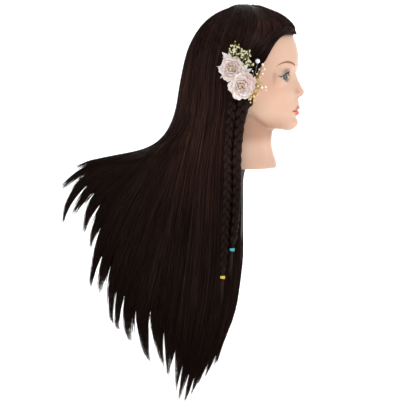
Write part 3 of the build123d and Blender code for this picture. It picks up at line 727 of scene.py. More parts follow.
# guides in the side view, from the front edge to the swept back: root at the parting, then to each lock's tip
GUIDES = [
    [(252, 7), (256, 18), (255, 32), (250, 46), (245, 62), (244, 80), (245, 100), (241.5, 130), (239.5, 165), (240, 210), (240, 250), (237.5, 290), (231, 320), (222, 344), (214.5, 366)],
    [(250, 6.5), (252, 20), (249, 36), (244, 52), (241, 70), (241, 100), (238, 130), (236, 165), (236, 210), (236, 255), (232, 298), (223, 336), (212, 360), (205, 378)],
    [(248, 6), (247, 20), (243, 38), (238, 56), (236, 76), (236, 100), (232, 132), (230, 170), (230, 215), (229, 262), (223, 308), (212, 350), (203, 370), (197, 384)],
    [(246, 5.8), (242, 21), (237, 40), (232, 60), (230.5, 80), (230, 102), (226, 135), (223, 175), (222.5, 220), (221, 268), (214, 318), (205, 356), (197, 378), (191, 395)],
    [(244, 5.6), (237, 22), (231, 42), (226, 62), (224.5, 82), (224, 104), (219, 138), (216, 178), (214, 222), (212, 272), (205, 322), (196, 362), (189, 386), (184.5, 402)],
    [(242, 5.6), (232, 22), (225, 43), (220, 64), (218.5, 84), (217.5, 106), (212.5, 140), (208, 180), (205, 226), (202, 274), (195, 324), (187.5, 364), (182, 385), (178.5, 400)],
    [(240, 5.8), (227, 23), (219, 44), (214.5, 66), (212.5, 86), (211, 107), (205.5, 141), (200, 182), (196, 226), (192, 274), (186, 322), (181, 356), (178, 376), (176.5, 391)],
    [(238.5, 6), (222, 24), (213.5, 46), (209, 67), (207, 87), (205, 108), (199, 142), (192, 183), (186, 228), (180, 274), (174, 316), (169.5, 346), (167.5, 362), (168, 376)],
    [(237.5, 6.2), (218, 24), (209, 46), (204.5, 67), (202, 87), (200, 108), (193, 142), (184, 184), (176, 230), (168, 276), (161, 314), (159, 338), (161, 354), (164.5, 368)],
    [(236.5, 6.4), (214.5, 25), (205, 47), (200.5, 68), (198, 88), (195.5, 109), (187.5, 142), (176, 184), (164, 230), (152, 272), (143, 302), (141, 322), (144, 342), (149.3, 361)],
    [(236, 6.6), (212, 25.5), (202, 48), (197.5, 69), (195, 89), (192.3, 110), (183, 141), (168, 182), (152, 226), (139, 266), (130, 294), (126, 314), (126.5, 328), (128.6, 343)],
    [(235.5, 6.8), (209.5, 26), (199.5, 48.5), (195, 70), (192, 90), (189.5, 111), (179.5, 140), (162, 178), (144, 220), (131, 258), (122, 286), (117.5, 306), (116.5, 318), (118, 331)],
    [(235.2, 7), (207.5, 26.5), (197.3, 49.5), (193, 71), (190, 91), (187, 112), (176.5, 139), (156, 175), (136, 214), (122.5, 250), (114, 278), (110.5, 297), (111, 311), (112.5, 325)],
    [(235, 7.2), (206, 27), (195.4, 50.5), (191, 72), (188, 92), (184.8, 113), (173.5, 138), (150, 171), (128, 206), (114, 238), (105.5, 262), (101, 277), (99.5, 286), (99.5, 294)],
    [(235, 7.3), (205, 27), (194, 51), (189.6, 73), (186.4, 93), (183, 114), (171, 137.5), (144.5, 168), (120.5, 201), (105.5, 231), (97, 254), (93, 269), (91.5, 279), (91, 288)],
    [(235, 7.4), (204, 27.5), (192.8, 51.5), (188.4, 74), (185.2, 94), (181.3, 115), (169, 137), (139.5, 165.5), (114.5, 193), (101.5, 213), (95, 227), (91.5, 238), (90, 247)],
    [(235, 7.5), (203.5, 27.8), (192, 52), (187.4, 75), (184, 95), (180, 116), (167.3, 137), (134.5, 163.5), (108, 186.5), (94.5, 204), (87.5, 218), (83.5, 234)],
    [(235, 7.6), (203, 28), (191.4, 52), (186.6, 76), (183, 96), (178.9, 117), (165.8, 137), (129.5, 162), (102, 179), (88, 192), (79, 204), (72.5, 215)],
    [(235, 7.7), (202.7, 28), (191, 52), (186, 77), (182.4, 97), (178, 118), (164.6, 137.6), (124.5, 161), (96, 171.5), (79, 185), (68, 203), (61.5, 225)],
    [(235, 7.8), (202.4, 28.2), (190.6, 52), (185.6, 77), (182, 98), (177.5, 119), (164, 139.5), (120, 160), (93, 165.5), (76, 174), (62, 186)],
]
NS = 30
G_YZ = []
for g in GUIDES:
    yz = np.array([onto(*p) for p in g])
    G_YZ.append(curve_through(yz, 120))
G_YZ = np.array(G_YZ)            # guide, along, (Y, Z)

# fringe: forward from the parting, round the hairline and back under the flowers
FRINGE = [
    [(264, 9.8), (278, 14.2), (289.5, 20.5), (295, 28), (292, 33.2), (282.5, 35.6), (275, 43), (269.5, 52), (264, 62), (254.5, 71)],
    [(262.5, 9.5), (276, 15), (286, 21.5), (291.5, 28), (288, 31.5), (280, 33.5), (272.5, 41), (267, 50), (261, 60), (252, 69)],
    [(260.5, 9), (272, 15.5), (281, 22), (285, 28), (279, 32.5), (271, 40), (264, 49.5), (257.5, 59), (250, 67)],
    [(258.5, 8.5), (268, 16), (275, 23.5), (277, 30), (271, 37.5), (263, 46.5), (255, 57), (248, 66)],
    [(256.5, 8), (263.5, 16.5), (268, 25.5), (268, 34), (261, 43.5), (253, 54), (246, 64)],
    [(254, 7.4), (259, 17), (261, 27), (259, 37.5), (253, 48), (247, 58), (243, 68)],
]
F_YZ = np.array([curve_through(np.array([onto(*p) for p in g]), 120) for g in FRINGE])
# on the far side the fringe runs on down the front of the curtain
FF_YZ = []
for i, g in enumerate(FRINGE):
    tail = [(q[0] - 0.8 * (5 - i) * 0.0, q[1]) for q in GUIDES[0][5:]]
    yz = np.array([onto(*p) for p in g[:-2]] + [onto(p[0] + (5 - i) * 0.5, p[1]) for p in tail])
    FF_YZ.append(curve_through(yz, 120))
FF_YZ = np.array(FF_YZ)


def lay(yz, side, lift, deep=None):
    """Puts side-view points on the hair surface: 3-D points and outward normals. side is -1 near, +1 far.

    deep, from 0 to 1, is the fraction of the half width a strand lies at inside the fall.
    """
    y, z = yz[..., 0], yz[..., 1]
    s = half_width(y, z)
    e = 1.2
    sy = (half_width(y + e, z) - half_width(y - e, z)) / (2 * e)
    sz = (half_width(y, z + e) - half_width(y, z - e)) / (2 * e)
    n = np.stack([np.full_like(s, float(side)), -sy, -sz], -1)
    n /= np.linalg.norm(n, axis=-1)[..., None]
    yy = y + (0.4254 * s * step(45, -25, z) if side > 0 else 0)
    if deep is not None:
        yy = y + 0.2127 * s * (1 + side * deep) * step(45, -25, z)
        s = s * deep
        lift = lift * 0
    p = np.stack([side * s, yy, z], -1)
    return p + n * lift[..., None], n


def ribbons(P, N, width, thick, col, tone=None):
    """Closed three-sided strands along P (strand, ring, 3): vertices, triangles and UV."""
    n, r = P.shape[:2]
    T = np.gradient(P, axis=1)
    T /= np.maximum(np.linalg.norm(T, axis=2), 1e-9)[..., None]
    B = np.cross(T, N)
    B /= np.maximum(np.linalg.norm(B, axis=2), 1e-9)[..., None]
    M = np.cross(B, T)
    w, h = width[..., None], thick[..., None]
    ring = np.stack([P - B * w / 2, P + M * h, P + B * w / 2], 2)      # strand, ring, 3, xyz
    ends0, ends1 = P[:, :1] - T[:, :1] * 0.8, P[:, -1:] + T[:, -1:] * 1.2
    V = np.concatenate([ends0, ring.reshape(n, r * 3, 3), ends1], 1)
    per = r * 3 + 2
    i = np.arange(r - 1)[:, None] * 3 + 1
    tri = []
    for a, b in ((0, 1), (1, 2), (2, 0)):
        tri.append(np.stack([i + a, i + b, i + 3 + b], -1))
        tri.append(np.stack([i + a, i + 3 + b, i + 3 + a], -1))
    tri = np.concatenate([t.reshape(-1, 3) for t in tri])
    last = (r - 1) * 3 + 1
    caps = np.array([(0, 2, 1), (0, 3, 2), (0, 1, 3), (per - 1, last, last + 1), (per - 1, last + 1, last + 2), (per - 1, last + 2, last)])
    tri = np.concatenate([tri, caps])
    F = (tri[None] + (np.arange(n) * per)[:, None, None]).reshape(-1, 3)
    t = np.linspace(0.02, 0.98, r)
    du = np.array([-0.004, 0.0, 0.004])
    U = np.broadcast_to(col[:, None, None] + du, (n, r, 3)).reshape(n, -1)
    Vv = np.broadcast_to(t[None, :, None], (n, r, 3)).reshape(n, -1)
    U = np.concatenate([col[:, None], U, col[:, None]], 1)
    Vv = np.concatenate([np.full((n, 1), 0.01), Vv, np.full((n, 1), 0.99)], 1)
    return V.reshape(-1, 3), F, np.stack([U.ravel(), Vv.ravel()], 1)


def hair_material(name, dark, mid, light, gloss=0.36):
    m, nt, b = material(name, mid, gloss, spec=0.13)
    b.inputs["Specular Tint"].default_value = (1.0, 0.66, 0.54, 1)
    uv = node(nt, "ShaderNodeUVMap", _uv_map="OFBake").outputs[0]
    mp = nt.nodes.new("ShaderNodeMapping")
    mp.inputs["Scale"].default_value = (95.0, 2.2, 1.0)
    nt.links.new(uv, mp.inputs[0])
    n1 = noise(nt, 1.0, 3, 0.65, mp.outputs[0])
    # strand-to-strand tone; the lightest strands are partly painted sheen
    colour = ramp(nt, n1, [(0.28, dark), (0.5, mid), (0.66, light), (0.80, mid)])
    sep = nt.nodes.new("ShaderNodeSeparateXYZ")
    nt.links.new(uv, sep.inputs[0])
    # painted highlight: a brighter band about a third of the way down each strand; darker along the lower lengths,
    # warmer at the tips
    deep = ramp(nt, sep.outputs[1], [(0.0, (0.9,) * 3), (0.10, (0.80,) * 3), (0.26, (1.0,) * 3), (0.38, (1.35,) * 3), (0.48, (1.0,) * 3), (0.62, (0.38,) * 3), (0.9, (0.30,) * 3), (1.0, (1.2, 0.9, 0.8))])
    mul = nt.nodes.new("ShaderNodeMix")
    mul.data_type = "RGBA"
    mul.blend_type = "MULTIPLY"
    mul.inputs[0].default_value = 1.0
    nt.links.new(colour, mul.inputs[6])
    nt.links.new(deep, mul.inputs[7])
    nt.links.new(mul.outputs[2], b.inputs["Base Color"])
    nt.links.new(maths(nt, "MULTIPLY_ADD", n1, 0.22, gloss - 0.10), b.inputs["Roughness"])
    return m


HAIR = hair_material("hair_strands", srgb(9, 4, 4), srgb(24, 12, 11), srgb(70, 43, 35))
PLAIT_HAIR = hair_material("plait_strands", srgb(8, 4, 4), srgb(22, 12, 10), srgb(50, 30, 24), 0.40)


def set_uv(o, uv):
    lay_ = o.data.uv_layers.new(name="OFBake")
    li = np.zeros(len(o.data.loops), np.int32)
    o.data.loops.foreach_get("vertex_index", li)
    lay_.data.foreach_set("uv", np.asarray(uv, np.float32)[li].ravel())


# where along the strands each lock parts from its neighbours
LATE_G = list(range(20))
LATE_T = [0.86, 0.90, 0.89, 0.91, 0.87, 0.90, 0.85, 0.88, 0.80, 0.76, 0.82, 0.77, 0.79, 0.75, 0.80, 0.74, 0.78, 0.73, 0.76, 0.72]


def strand_piece(name, family, side, count, seed, wide=(0.9, 2.3), body="head", rings=NS, mat=None, gmin=0.0, gmax=None,
                 tmin=0.0, tips=(0.84, 1.0), lift=(0.2, 3.0), lock=0.94, lock_from=0.74, replaces=(), sub=0.42, slack=1.0, inner=None):
    """Strands between a family's guides, gathered into locks towards the tips."""
    r = rng(seed)
    ng = len(family) - 1
    gmax = ng if gmax is None else gmax
    g0 = np.clip(r.uniform(gmin, gmax + (0.35 if gmax == ng else 0), count), 0, gmax)
    t1 = tips[0] + (tips[1] - tips[0]) * r.beta(3.2, 1.2, count)
    short = r.random(count) < 0.10
    t1 = np.where(short, t1 * r.uniform(0.80, 0.97, count), t1)
    t0 = tmin + 0.012 * r.random(count)
    t = t0[:, None] + (t1 - t0)[:, None] * np.linspace(0, 1, rings)[None]
    wild = (r.random(count) < 0.06)[:, None]
    # gather: first into small sub-locks, then into the lock that ends at a guide's tip
    pitch = 0.16
    centre = np.round(g0 / pitch + r.uniform(-0.2, 0.2, count)) * pitch
    gg = g0[:, None] + (centre - g0)[:, None] * sub * step(0.12, 0.55, t)
    own = np.clip(np.round(g0 + r.uniform(-0.12, 0.12, count)), 0, ng)
    late = np.interp(own, LATE_G, LATE_T)[:, None] + (lock_from - 0.74)
    conv = lock * np.clip((t - late) / (1 - late), 0, 1) ** 1.25 * np.where(wild, 0.45, 1)
    gg = gg + (own[:, None] - gg) * conv
    ph, fr = r.uniform(0, 6.28, count)[:, None], r.uniform(2.0, 5.0, count)[:, None]
    gg = gg + slack * 0.05 * np.sin(ph + fr * t * 3) * step(0.05, 0.3, t) * (1 + 1.2 * step(0.6, 1, t))
    gg = np.clip(gg, 0, ng)
    k = np.minimum(gg.astype(int), ng - 1)
    fg = (gg - k)[..., None]
    q = np.clip(t, 0, 1) * 119
    j = np.minimum(q.astype(int), 118)
    fq = (q - j)[..., None]
    A = family[k, j] * (1 - fq) + family[k, j + 1] * fq
    Bq = family[k + 1, j] * (1 - fq) + family[k + 1, j + 1] * fq
    yz = A * (1 - fg) + Bq * fg
    off = (lift[0] + (lift[1] - lift[0]) * r.random(count) ** 1.4)[:, None] * np.ones_like(t)
    off = off + 0.5 * np.sin(ph * 1.7 + 9 * t)
    if side < 0:      # flat under the clip
        off = off * (1 - 0.9 * np.exp(-(((yz[..., 0] - 6) / 17) ** 2 + ((yz[..., 1] - 190) / 20) ** 2)))
    P, N = lay(yz, side, off, None if inner is None else r.uniform(*inner, count)[:, None] * np.ones_like(t))
    w = r.uniform(wide[0], wide[1], count)[:, None] * (0.55 + 0.45 * step(0, 0.08, (t - t0[:, None]))) * (1 - step(0.72, 1.0, (t - t0[:, None]) / (t1 - t0)[:, None]) * 0.93)
    V, F, uv = ribbons(P, N, w, w * 0.34 + 0.12, r.uniform(0.01, 0.99, count))
    o = make(name, V, F, mat or HAIR, body, replaces)
    set_uv(o, uv)
    return o


Q_ = 1.0
near1 = strand_piece("hair_near_front", G_YZ, -1, int(1100 * Q_), 11, gmax=9.5)
near2 = strand_piece("hair_near_back", G_YZ, -1, int(1080 * Q_), 12, gmin=8.5)
near3 = strand_piece("hair_near_fine", G_YZ, -1, int(1000 * Q_), 13, wide=(0.45, 0.95), lift=(1.6, 3.6), slack=1.6, tips=(0.8, 1.0))
far1 = strand_piece("hair_far_front", G_YZ, 1, int(1000 * Q_), 14, gmax=9.5)
far2 = strand_piece("hair_far_back", G_YZ, 1, int(1000 * Q_), 15, gmin=8.5)
bridge = [[q for q in FRINGE[-1]], [(253, 7.2), (257.5, 17.5), (258, 29), (256, 40), (250, 50), (245.8, 60), (243.8, 72)],
          [(252, 7), (256, 18), (255, 32), (250, 46), (245, 62), (244, 80)]]
B_YZ = np.array([curve_through(np.array([onto(*p) for p in g]), 120) for g in bridge])
br1 = strand_piece("hair_bridge_near", B_YZ, -1, int(420 * Q_), 21, lock=0.0, wide=(0.8, 1.9), lift=(0.1, 1.8), rings=22, tips=(0.95, 1.0), sub=0.3)
br2 = strand_piece("hair_bridge_far", B_YZ, 1, int(420 * Q_), 22, lock=0.0, wide=(0.8, 1.9), lift=(0.1, 1.8), rings=22, tips=(0.95, 1.0), sub=0.3)

# over the forehead, from the parting forward and down to the hairline
def brow_strands():
    r = rng(23)
    edge = [(-27, 277.8), (-38, 276.2), (-50, 271.4), (-62, 266.2), (-72, 261.2), (-80, 254.8), (-86, 248.2), (-90, 241), (-92.2, 235), (-92.4, 231.2)]
    C = curve_through(np.array(edge, float), 80)
    T = np.gradient(C, axis=0)
    T /= np.linalg.norm(T, axis=1)[:, None]
    inward = np.stack([-T[:, 1], T[:, 0]], 1)
    if (inward[40] @ (np.array([0.0, 200.0]) - C[40])) < 0:
        inward = -inward
    n = int(620 * Q_)
    x = r.uniform(-44, 44, n)
    t = (0.96 + 0.04 * r.random(n))[:, None] * np.linspace(0, 1, 24)[None]
    j = np.minimum((t * 79).astype(int), 78)
    fq = (t * 79 - j)[..., None]
    base = C[j] * (1 - fq) + C[j + 1] * fq
    inn = inward[j] * (1 - fq) + inward[j + 1] * fq
    spread = x[:, None] * (0.25 + 0.75 * step(0.0, 0.85, t)) + 0.6 * np.sin(5 * t + x[:, None])
    lo, hi = np.zeros_like(t) - 3.0, np.zeros_like(t) + 46.0
    for _ in range(16):
        mid = (lo + hi) / 2
        q = base + inn * mid[..., None]
        inside = half_width(q[..., 0], q[..., 1]) > np.abs(spread)
        hi = np.where(inside, mid, hi)
        lo = np.where(inside, lo, mid)
    q = base + inn * hi[..., None]
    for _ in range(3):
        q[:, 1:-1] = (q[:, :-2] + 2 * q[:, 1:-1] + q[:, 2:]) / 4
    P = np.stack([spread, q[..., 0], q[..., 1]], -1)
    N = np.stack([spread / 60.0, -inn[..., 0], -inn[..., 1]], -1)
    N /= np.linalg.norm(N, axis=-1)[..., None]
    P = P + N * (0.3 + 1.3 * r.random(n) ** 1.4)[:, None, None]
    P[..., 2] = np.minimum(P[..., 2], 279.6)
    w = r.uniform(0.8, 1.9, n)[:, None] * np.ones_like(t)
    V, F, uv = ribbons(P, N, w, w * 0.34 + 0.12, r.uniform(0.01, 0.99, n))
    o = make("hair_brow", V, F, HAIR, "head")
    set_uv(o, uv)


brow_strands()
# inside the fall, so that it is full when seen from the front, from behind and from below
in1 = strand_piece("hair_inner_near", G_YZ, -1, int(1500 * Q_), 18, tmin=0.60, rings=18, inner=(0.0, 0.92), wide=(1.0, 2.6), tips=(0.88, 0.995))
in2 = strand_piece("hair_inner_far", G_YZ, 1, int(1500 * Q_), 19, tmin=0.60, rings=18, inner=(0.0, 0.92), wide=(1.0, 2.6), tips=(0.88, 0.995))


def back_strands():
    """Strands down the middle of the back, over the edge between the two sides and out along the sweep."""
    r = rng(20)
    edge = [(-26, 277.6), (-4, 277.6), (20, 275), (40, 266), (58, 251), (72, 235), (83, 218), (91, 198), (97, 178), (101, 158),
            (104.5, 138), (108, 118), (112, 98), (119, 76), (131, 54), (146, 40.5), (163, 30), (190, 22), (215, 17), (250, 9.5), (275, 2), (292, -6)]
    C = curve_through(np.array(edge, float), 110)
    T = np.gradient(C, axis=0)
    T /= np.linalg.norm(T, axis=1)[:, None]
    inward = np.stack([T[:, 1], -T[:, 0]], 1)
    if (inward[40] @ (np.array([0.0, 150.0]) - C[40])) < 0:
        inward = -inward
    n = int(960 * Q_)
    x = r.uniform(-62, 62, n)
    t1 = r.uniform(0.80, 1.0, n)
    t = t1[:, None] * np.linspace(0, 1, 34)[None]
    j = np.minimum((t * 109).astype(int), 108)
    fq = (t * 109 - j)[..., None]
    base = C[j] * (1 - fq) + C[j + 1] * fq
    inn = inward[j] * (1 - fq) + inward[j + 1] * fq
    # strands fan out from the crown and draw together along the sweep
    spread = x[:, None] * (0.16 + 0.84 * step(0.0, 0.22, t)) * (1 - 0.45 * step(0.62, 1.0, t)) + 1.2 * np.sin(6 * t + x[:, None])
    lo, hi = np.zeros_like(t) - 3.0, np.zeros_like(t) + 46.0
    for _ in range(16):
        mid = (lo + hi) / 2
        q = base + inn * mid[..., None]
        inside = half_width(q[..., 0], q[..., 1]) > np.abs(spread)
        hi = np.where(inside, mid, hi)
        lo = np.where(inside, lo, mid)
    q = base + inn * hi[..., None]
    # smooth each strand a little along its length
    for _ in range(3):
        q[:, 1:-1] = (q[:, :-2] + 2 * q[:, 1:-1] + q[:, 2:]) / 4
    yy = q[..., 0] + np.where(spread > 0, 0.4254 * spread * step(45, -25, q[..., 1]), 0)
    P = np.stack([spread, yy, q[..., 1]], -1)
    N = np.stack([spread / 50.0, -inn[..., 0], -inn[..., 1]], -1)
    N /= np.linalg.norm(N, axis=-1)[..., None]
    P = P + N * (0.5 + 1.8 * r.random(n) ** 1.4)[:, None, None]
    P[..., 2] = np.minimum(P[..., 2], 279.6)
    w = r.uniform(1.0, 2.4, n)[:, None] * (1 - 0.9 * step(0.86, 1.0, t / t1[:, None]))
    V, F, uv = ribbons(P, N, w, w * 0.34 + 0.12, r.uniform(0.01, 0.99, n))
    o = make("hair_back", V, F, HAIR, "head")
    set_uv(o, uv)


back_strands()
fr1 = strand_piece("hair_fringe_near", F_YZ, -1, int(900 * Q_), 16, lock=0.0, wide=(0.7, 1.7), lift=(0.1, 1.6), rings=24, tips=(0.93, 1.0), sub=0.25)
fr2 = strand_piece("hair_fringe_far", FF_YZ, 1, int(800 * Q_), 17, lock=0.25, wide=(0.8, 1.9), lift=(0.1, 1.8))


# the opaque body of the hair under the strands
def hair_core():
    s = 2.8
    xs = np.arange(-84, 85, s)
    ys = np.arange(-104, 300, s)
    zs = np.arange(-372, 286, s)
    Y, Z = np.meshgrid(ys, zs, indexing="ij")
    H = half_width(Y, Z) - 2.6
    ends = [tuple(G_YZ[g][int(round(119 * c))]) for g, c in zip(range(2, 19), np.interp(range(2, 19), [2, 6, 9, 12, 14, 18], [0.86, 0.865, 0.845, 0.82, 0.79, 0.74]))]
    mass = [(-27, 104), (-15.5, 67), (-11.5, 30), (-9.5, -60), (-8.5, -110), (-3, -155), (3, -190)] + ends + [(240, -2), (208, 9), (163, 19), (143, 30), (131, 43), (119, 65), (112, 87), (109, 104)]
    d2 = -outline_depth(Y, Z, mass)
    line = [(-88, 231), (-70, 231), (-63, 217), (-52, 191), (-46, 168), (-35, 134), (-31, 94), (118, 94), (118, 320), (-140, 320), (-140, 231)]
    dh = -outline_depth(Y, Z, line)
    dside = np.minimum(smax(d2, Z - 104, 1.0), dh)
    edge = smax(dside, -100 + 0 * Z, 0.1)
    X = xs[:, None, None]
    d = np.abs(X) - H[None]
    # crown: the true thickness from the skin
    d = smax(d, edge[None] + 0 * X, 4.0)
    d = smax(d, Z[None] - 277.5 + 0 * X, 3)
    # the way up to the socket
    chan = np.maximum(np.maximum(np.abs(X) - 23.5, Y[None] - 43.5), Z[None] + 0.5)
    d = smax(d, -chan, 3)
    # below the neck the far half hangs further back, as its strands do
    shift = 0.4254 * np.abs(X)
    V, Qd = nets(xs, ys, zs, d)
    V[:, 1] += np.where(V[:, 0] > 0, 0.4254 * V[:, 0] * step(45, -25, V[:, 2]), 0)
    return V, Qd


core_m, nt, b = material("hair_core", srgb(16, 9, 8), 0.55, spec=0.12)
tc = node(nt, "ShaderNodeTexCoord").outputs["Object"]
mp = nt.nodes.new("ShaderNodeMapping")
mp.inputs["Scale"].default_value = (260, 260, 6)
nt.links.new(tc, mp.inputs[0])
nn = noise(nt, 1.0, 3, 0.6, mp.outputs[0])
nt.links.new(ramp(nt, nn, [(0.3, srgb(8, 4, 4)), (0.7, srgb(24, 14, 12))]), b.inputs["Base Color"])
bump(nt, b, nn, 0.5, 0.002)
V, Qd = hair_core()
core = make("hair_mass", V, Qd, core_m, "head",
            ("hair_crown", "hair_right", "hair_left", "hair_nape", "hair_ends_right", "hair_ends_left", "hair_sweep_inner", "hair_sweep_outer"))

# ------------------------------------------------------------------ plaits
PLAIT_F = [(124, -83.2, -20.5, 4.5, 3.0), (118, -83.2, -20.0, 7.5, 5.2), (76, -81.5, -14.5, 8.0, 5.6), (35, -80.0, -10.0, 7.8, 5.6),
           (-24, -78.5, -9.3, 7.4, 5.4), (-79, -76.8, -7.0, 6.6, 5.0), (-126, -75.0, -1.5, 4.0, 3.6), (-133, -74.8, -0.6, 2.3, 2.3)]
TAIL_F = [(-131, -74.8, -0.8, 2.6, 2.6), (-136.5, -74.8, -0.1, 2.2, 2.2), (-144, -74.7, 0.8, 2.4, 2.3), (-160, -74.4, 2.5, 2.3, 2.1), (-174, -74.1, 4.0, 1.7, 1.5), (-181, -74.0, 4.7, 0.5, 0.4)]
PLAIT_R = [(124, -83.2, -4.0, 4.3, 3.0), (118, -83.2, -3.8, 6.6, 5.2), (76, -81.5, 1.8, 7.2, 5.4), (35, -80.0, 6.0, 7.2, 5.4),
           (-24, -78.5, 6.9, 7.0, 5.2), (-79, -76.8, 9.6, 6.8, 5.0), (-134, -75.0, 13.0, 6.0, 4.6), (-174, -74.0, 15.8, 3.8, 3.4), (-181, -73.9, 16.3, 2.3, 2.3)]
TAIL_R = [(-179, -73.9, 16.2, 2.6, 2.6), (-184.5, -73.9, 16.6, 2.2, 2.2), (-192, -73.8, 17.2, 2.4, 2.3), (-210, -73.6, 18.4, 2.3, 2.1), (-224, -73.4, 19.3, 1.6, 1.4), (-231, -73.3, 19.8, 0.5, 0.4)]


def tube(path, side, ra, rb, seg, groove=0.0, ridges=9, twist=0.0, close=True):
    """A closed tube: side is the sideways direction at each ring, ra and rb its half sizes."""
    path = np.asarray(path, float)
    n = len(path)
    T = np.gradient(path, axis=0)
    T /= np.linalg.norm(T, axis=1)[:, None]
    B = side - (side * T).sum(1)[:, None] * T
    B /= np.linalg.norm(B, axis=1)[:, None]
    Nn = np.cross(T, B)
    a = np.linspace(0, 2 * math.pi, seg, endpoint=False)
    g = 1 + groove * np.abs(np.cos(ridges * 0.5 * (a[None] + twist * np.arange(n)[:, None] / n))) - groove * 0.5
    ring = (path[:, None] + B[:, None] * (np.cos(a)[None] * g * ra[:, None])[..., None] + Nn[:, None] * (np.sin(a)[None] * g * rb[:, None])[..., None])
    V = ring.reshape(-1, 3)
    i, j = np.meshgrid(np.arange(n - 1), np.arange(seg), indexing="ij")
    p, q = i * seg + j, i * seg + (j + 1) % seg
    F = np.stack([p, q, q + seg, p + seg], -1).reshape(-1, 4)
    V = np.concatenate([V, path[:1], path[-1:]])
    k = len(V) - 2
    jj = np.arange(seg)
    c0 = [(k, (x + 1) % seg, x) for x in jj]
    c1 = [(k + 1, (n - 1) * seg + x, (n - 1) * seg + (x + 1) % seg) for x in jj]
    u = np.concatenate([np.tile(np.arange(seg) / seg, n), [0.5, 0.5]])
    v = np.concatenate([np.repeat(np.linspace(0.02, 0.98, n), seg), [0.01, 0.99]])
    return V, [tuple(f) for f in F] + c0 + c1, np.stack([u, v], 1)


def join(parts):
    V, F, U, I = [], [], [], []
    off = 0
    for k, (v, f, u) in enumerate(parts):
        V.append(v)
        U.append(u)
        F += [tuple(int(x) + off for x in g) for g in f]
        off += len(v)
    return np.concatenate(V), F, np.concatenate(U)


def plait(name, rows, tail, body, node_, pitch, seed):
    z = np.linspace(rows[0][0], rows[-1][0], 190)
    cx, cy, hw, ht = (smooth_table(rows, c)(z) for c in (1, 2, 3, 4))
    parts = []
    s = (rows[0][0] - z)
    near_end = step(rows[-1][0] - 2, rows[-1][0] + 16, z) * 0.75 + 0.25
    start = step(rows[0][0], rows[0][0] - 7, z) * 0.6 + 0.4
    r = rng(seed)
    for i in range(3):
        ph = 2 * math.pi * (s / pitch) + 2 * math.pi * i / 3
        a = 0.50 * hw * np.sin(ph) * near_end * start
        b = 0.46 * ht * np.sin(2 * ph) * near_end * start
        path = np.stack([cx - b, cy + a, z], 1)
        side = np.tile([0.0, 1.0, 0.0], (len(z), 1))
        ra = 0.52 * hw * (0.8 + 0.2 * near_end) * start
        rb = 0.56 * ht * (0.8 + 0.2 * near_end) * start
        V, F, U = tube(path, side, ra, rb, 30, 0.20, 13, 7.0)
        U = U * [0.9, 1.0]
        U[:, 0] = (U[:, 0] + i * 0.31) % 0.97 + 0.01
        parts.append((V, F, U))
    zt = np.linspace(tail[0][0], tail[-1][0], 34)
    tx, ty, tw, tt = (smooth_table(tail, c)(zt) for c in (1, 2, 3, 4))
    V, F, U = tube(np.stack([tx, ty, zt], 1), np.tile([0.0, 1.0, 0.0], (34, 1)), np.maximum(tw, 0.3), np.maximum(tt, 0.3), 30, 0.16, 12, 1.0)
    parts.append((V, F, U))
    V, F, U = join(parts)
    o = make(name, V, F, PLAIT_HAIR, body, (node_,))
    set_uv(o, U)
    return o


plait("plait_front_hair", PLAIT_F, TAIL_F, "plait_front", "plait_front", 50.0, 31)
plait("plait_rear_hair", PLAIT_R, TAIL_R, "plait_rear", "plait_rear", 46.0, 32)


def elastic(name, centre, colour, body, node_):
    m, nt, b = material(name + "_rubber", colour, 0.38, spec=0.5)
    n_ = noise(nt, 900, 3)
    nt.links.new(mix(nt, n_, tuple(c * 0.7 for c in colour), tuple(min(1, c * 1.25) for c in colour)), b.inputs["Base Color"])
    bump(nt, b, n_, 0.3, 0.0002)
    parts = []
    for k, (dz, tilt, ph) in enumerate(((-1.5, 0.10, 0.0), (0.0, -0.12, 1.7), (1.5, 0.07, 3.6))):
        a = np.linspace(0, 2 * math.pi, 41)[:-1]
        R = 3.35 + 0.12 * k % 2
        c = np.stack([centre[0] + R * np.cos(a), centre[1] + R * np.sin(a), centre[2] + dz + R * tilt * np.sin(a + ph)], 1)
        b_ = np.linspace(0, 2 * math.pi, 12, endpoint=False)
        rad = np.stack([np.cos(a), np.sin(a), 0 * a], 1)
        ring = c[:, None] + 0.86 * (rad[:, None] * np.cos(b_)[None, :, None] + np.array([0, 0, 1.0]) * np.sin(b_)[None, :, None])
        V = ring.reshape(-1, 3)
        F = [(i * 12 + j, ((i + 1) % 40) * 12 + j, ((i + 1) % 40) * 12 + (j + 1) % 12, i * 12 + (j + 1) % 12) for i in range(40) for j in range(12)]
        parts.append((V, F, np.zeros((len(V), 2))))
    V, F, U = join(parts)
    return make(name, V, F, m, body, (node_,))


elastic("elastic_teal", (-74.8, -0.15, -136.5), srgb(58, 176, 190), "band_teal", "band_teal")
elastic("elastic_yellow", (-73.9, 16.65, -184.5), srgb(232, 196, 92), "band_yellow", "band_yellow")

# ------------------------------------------------------------------ flowers
OUTW = np.array([-1.0, 0.0, 0.0])


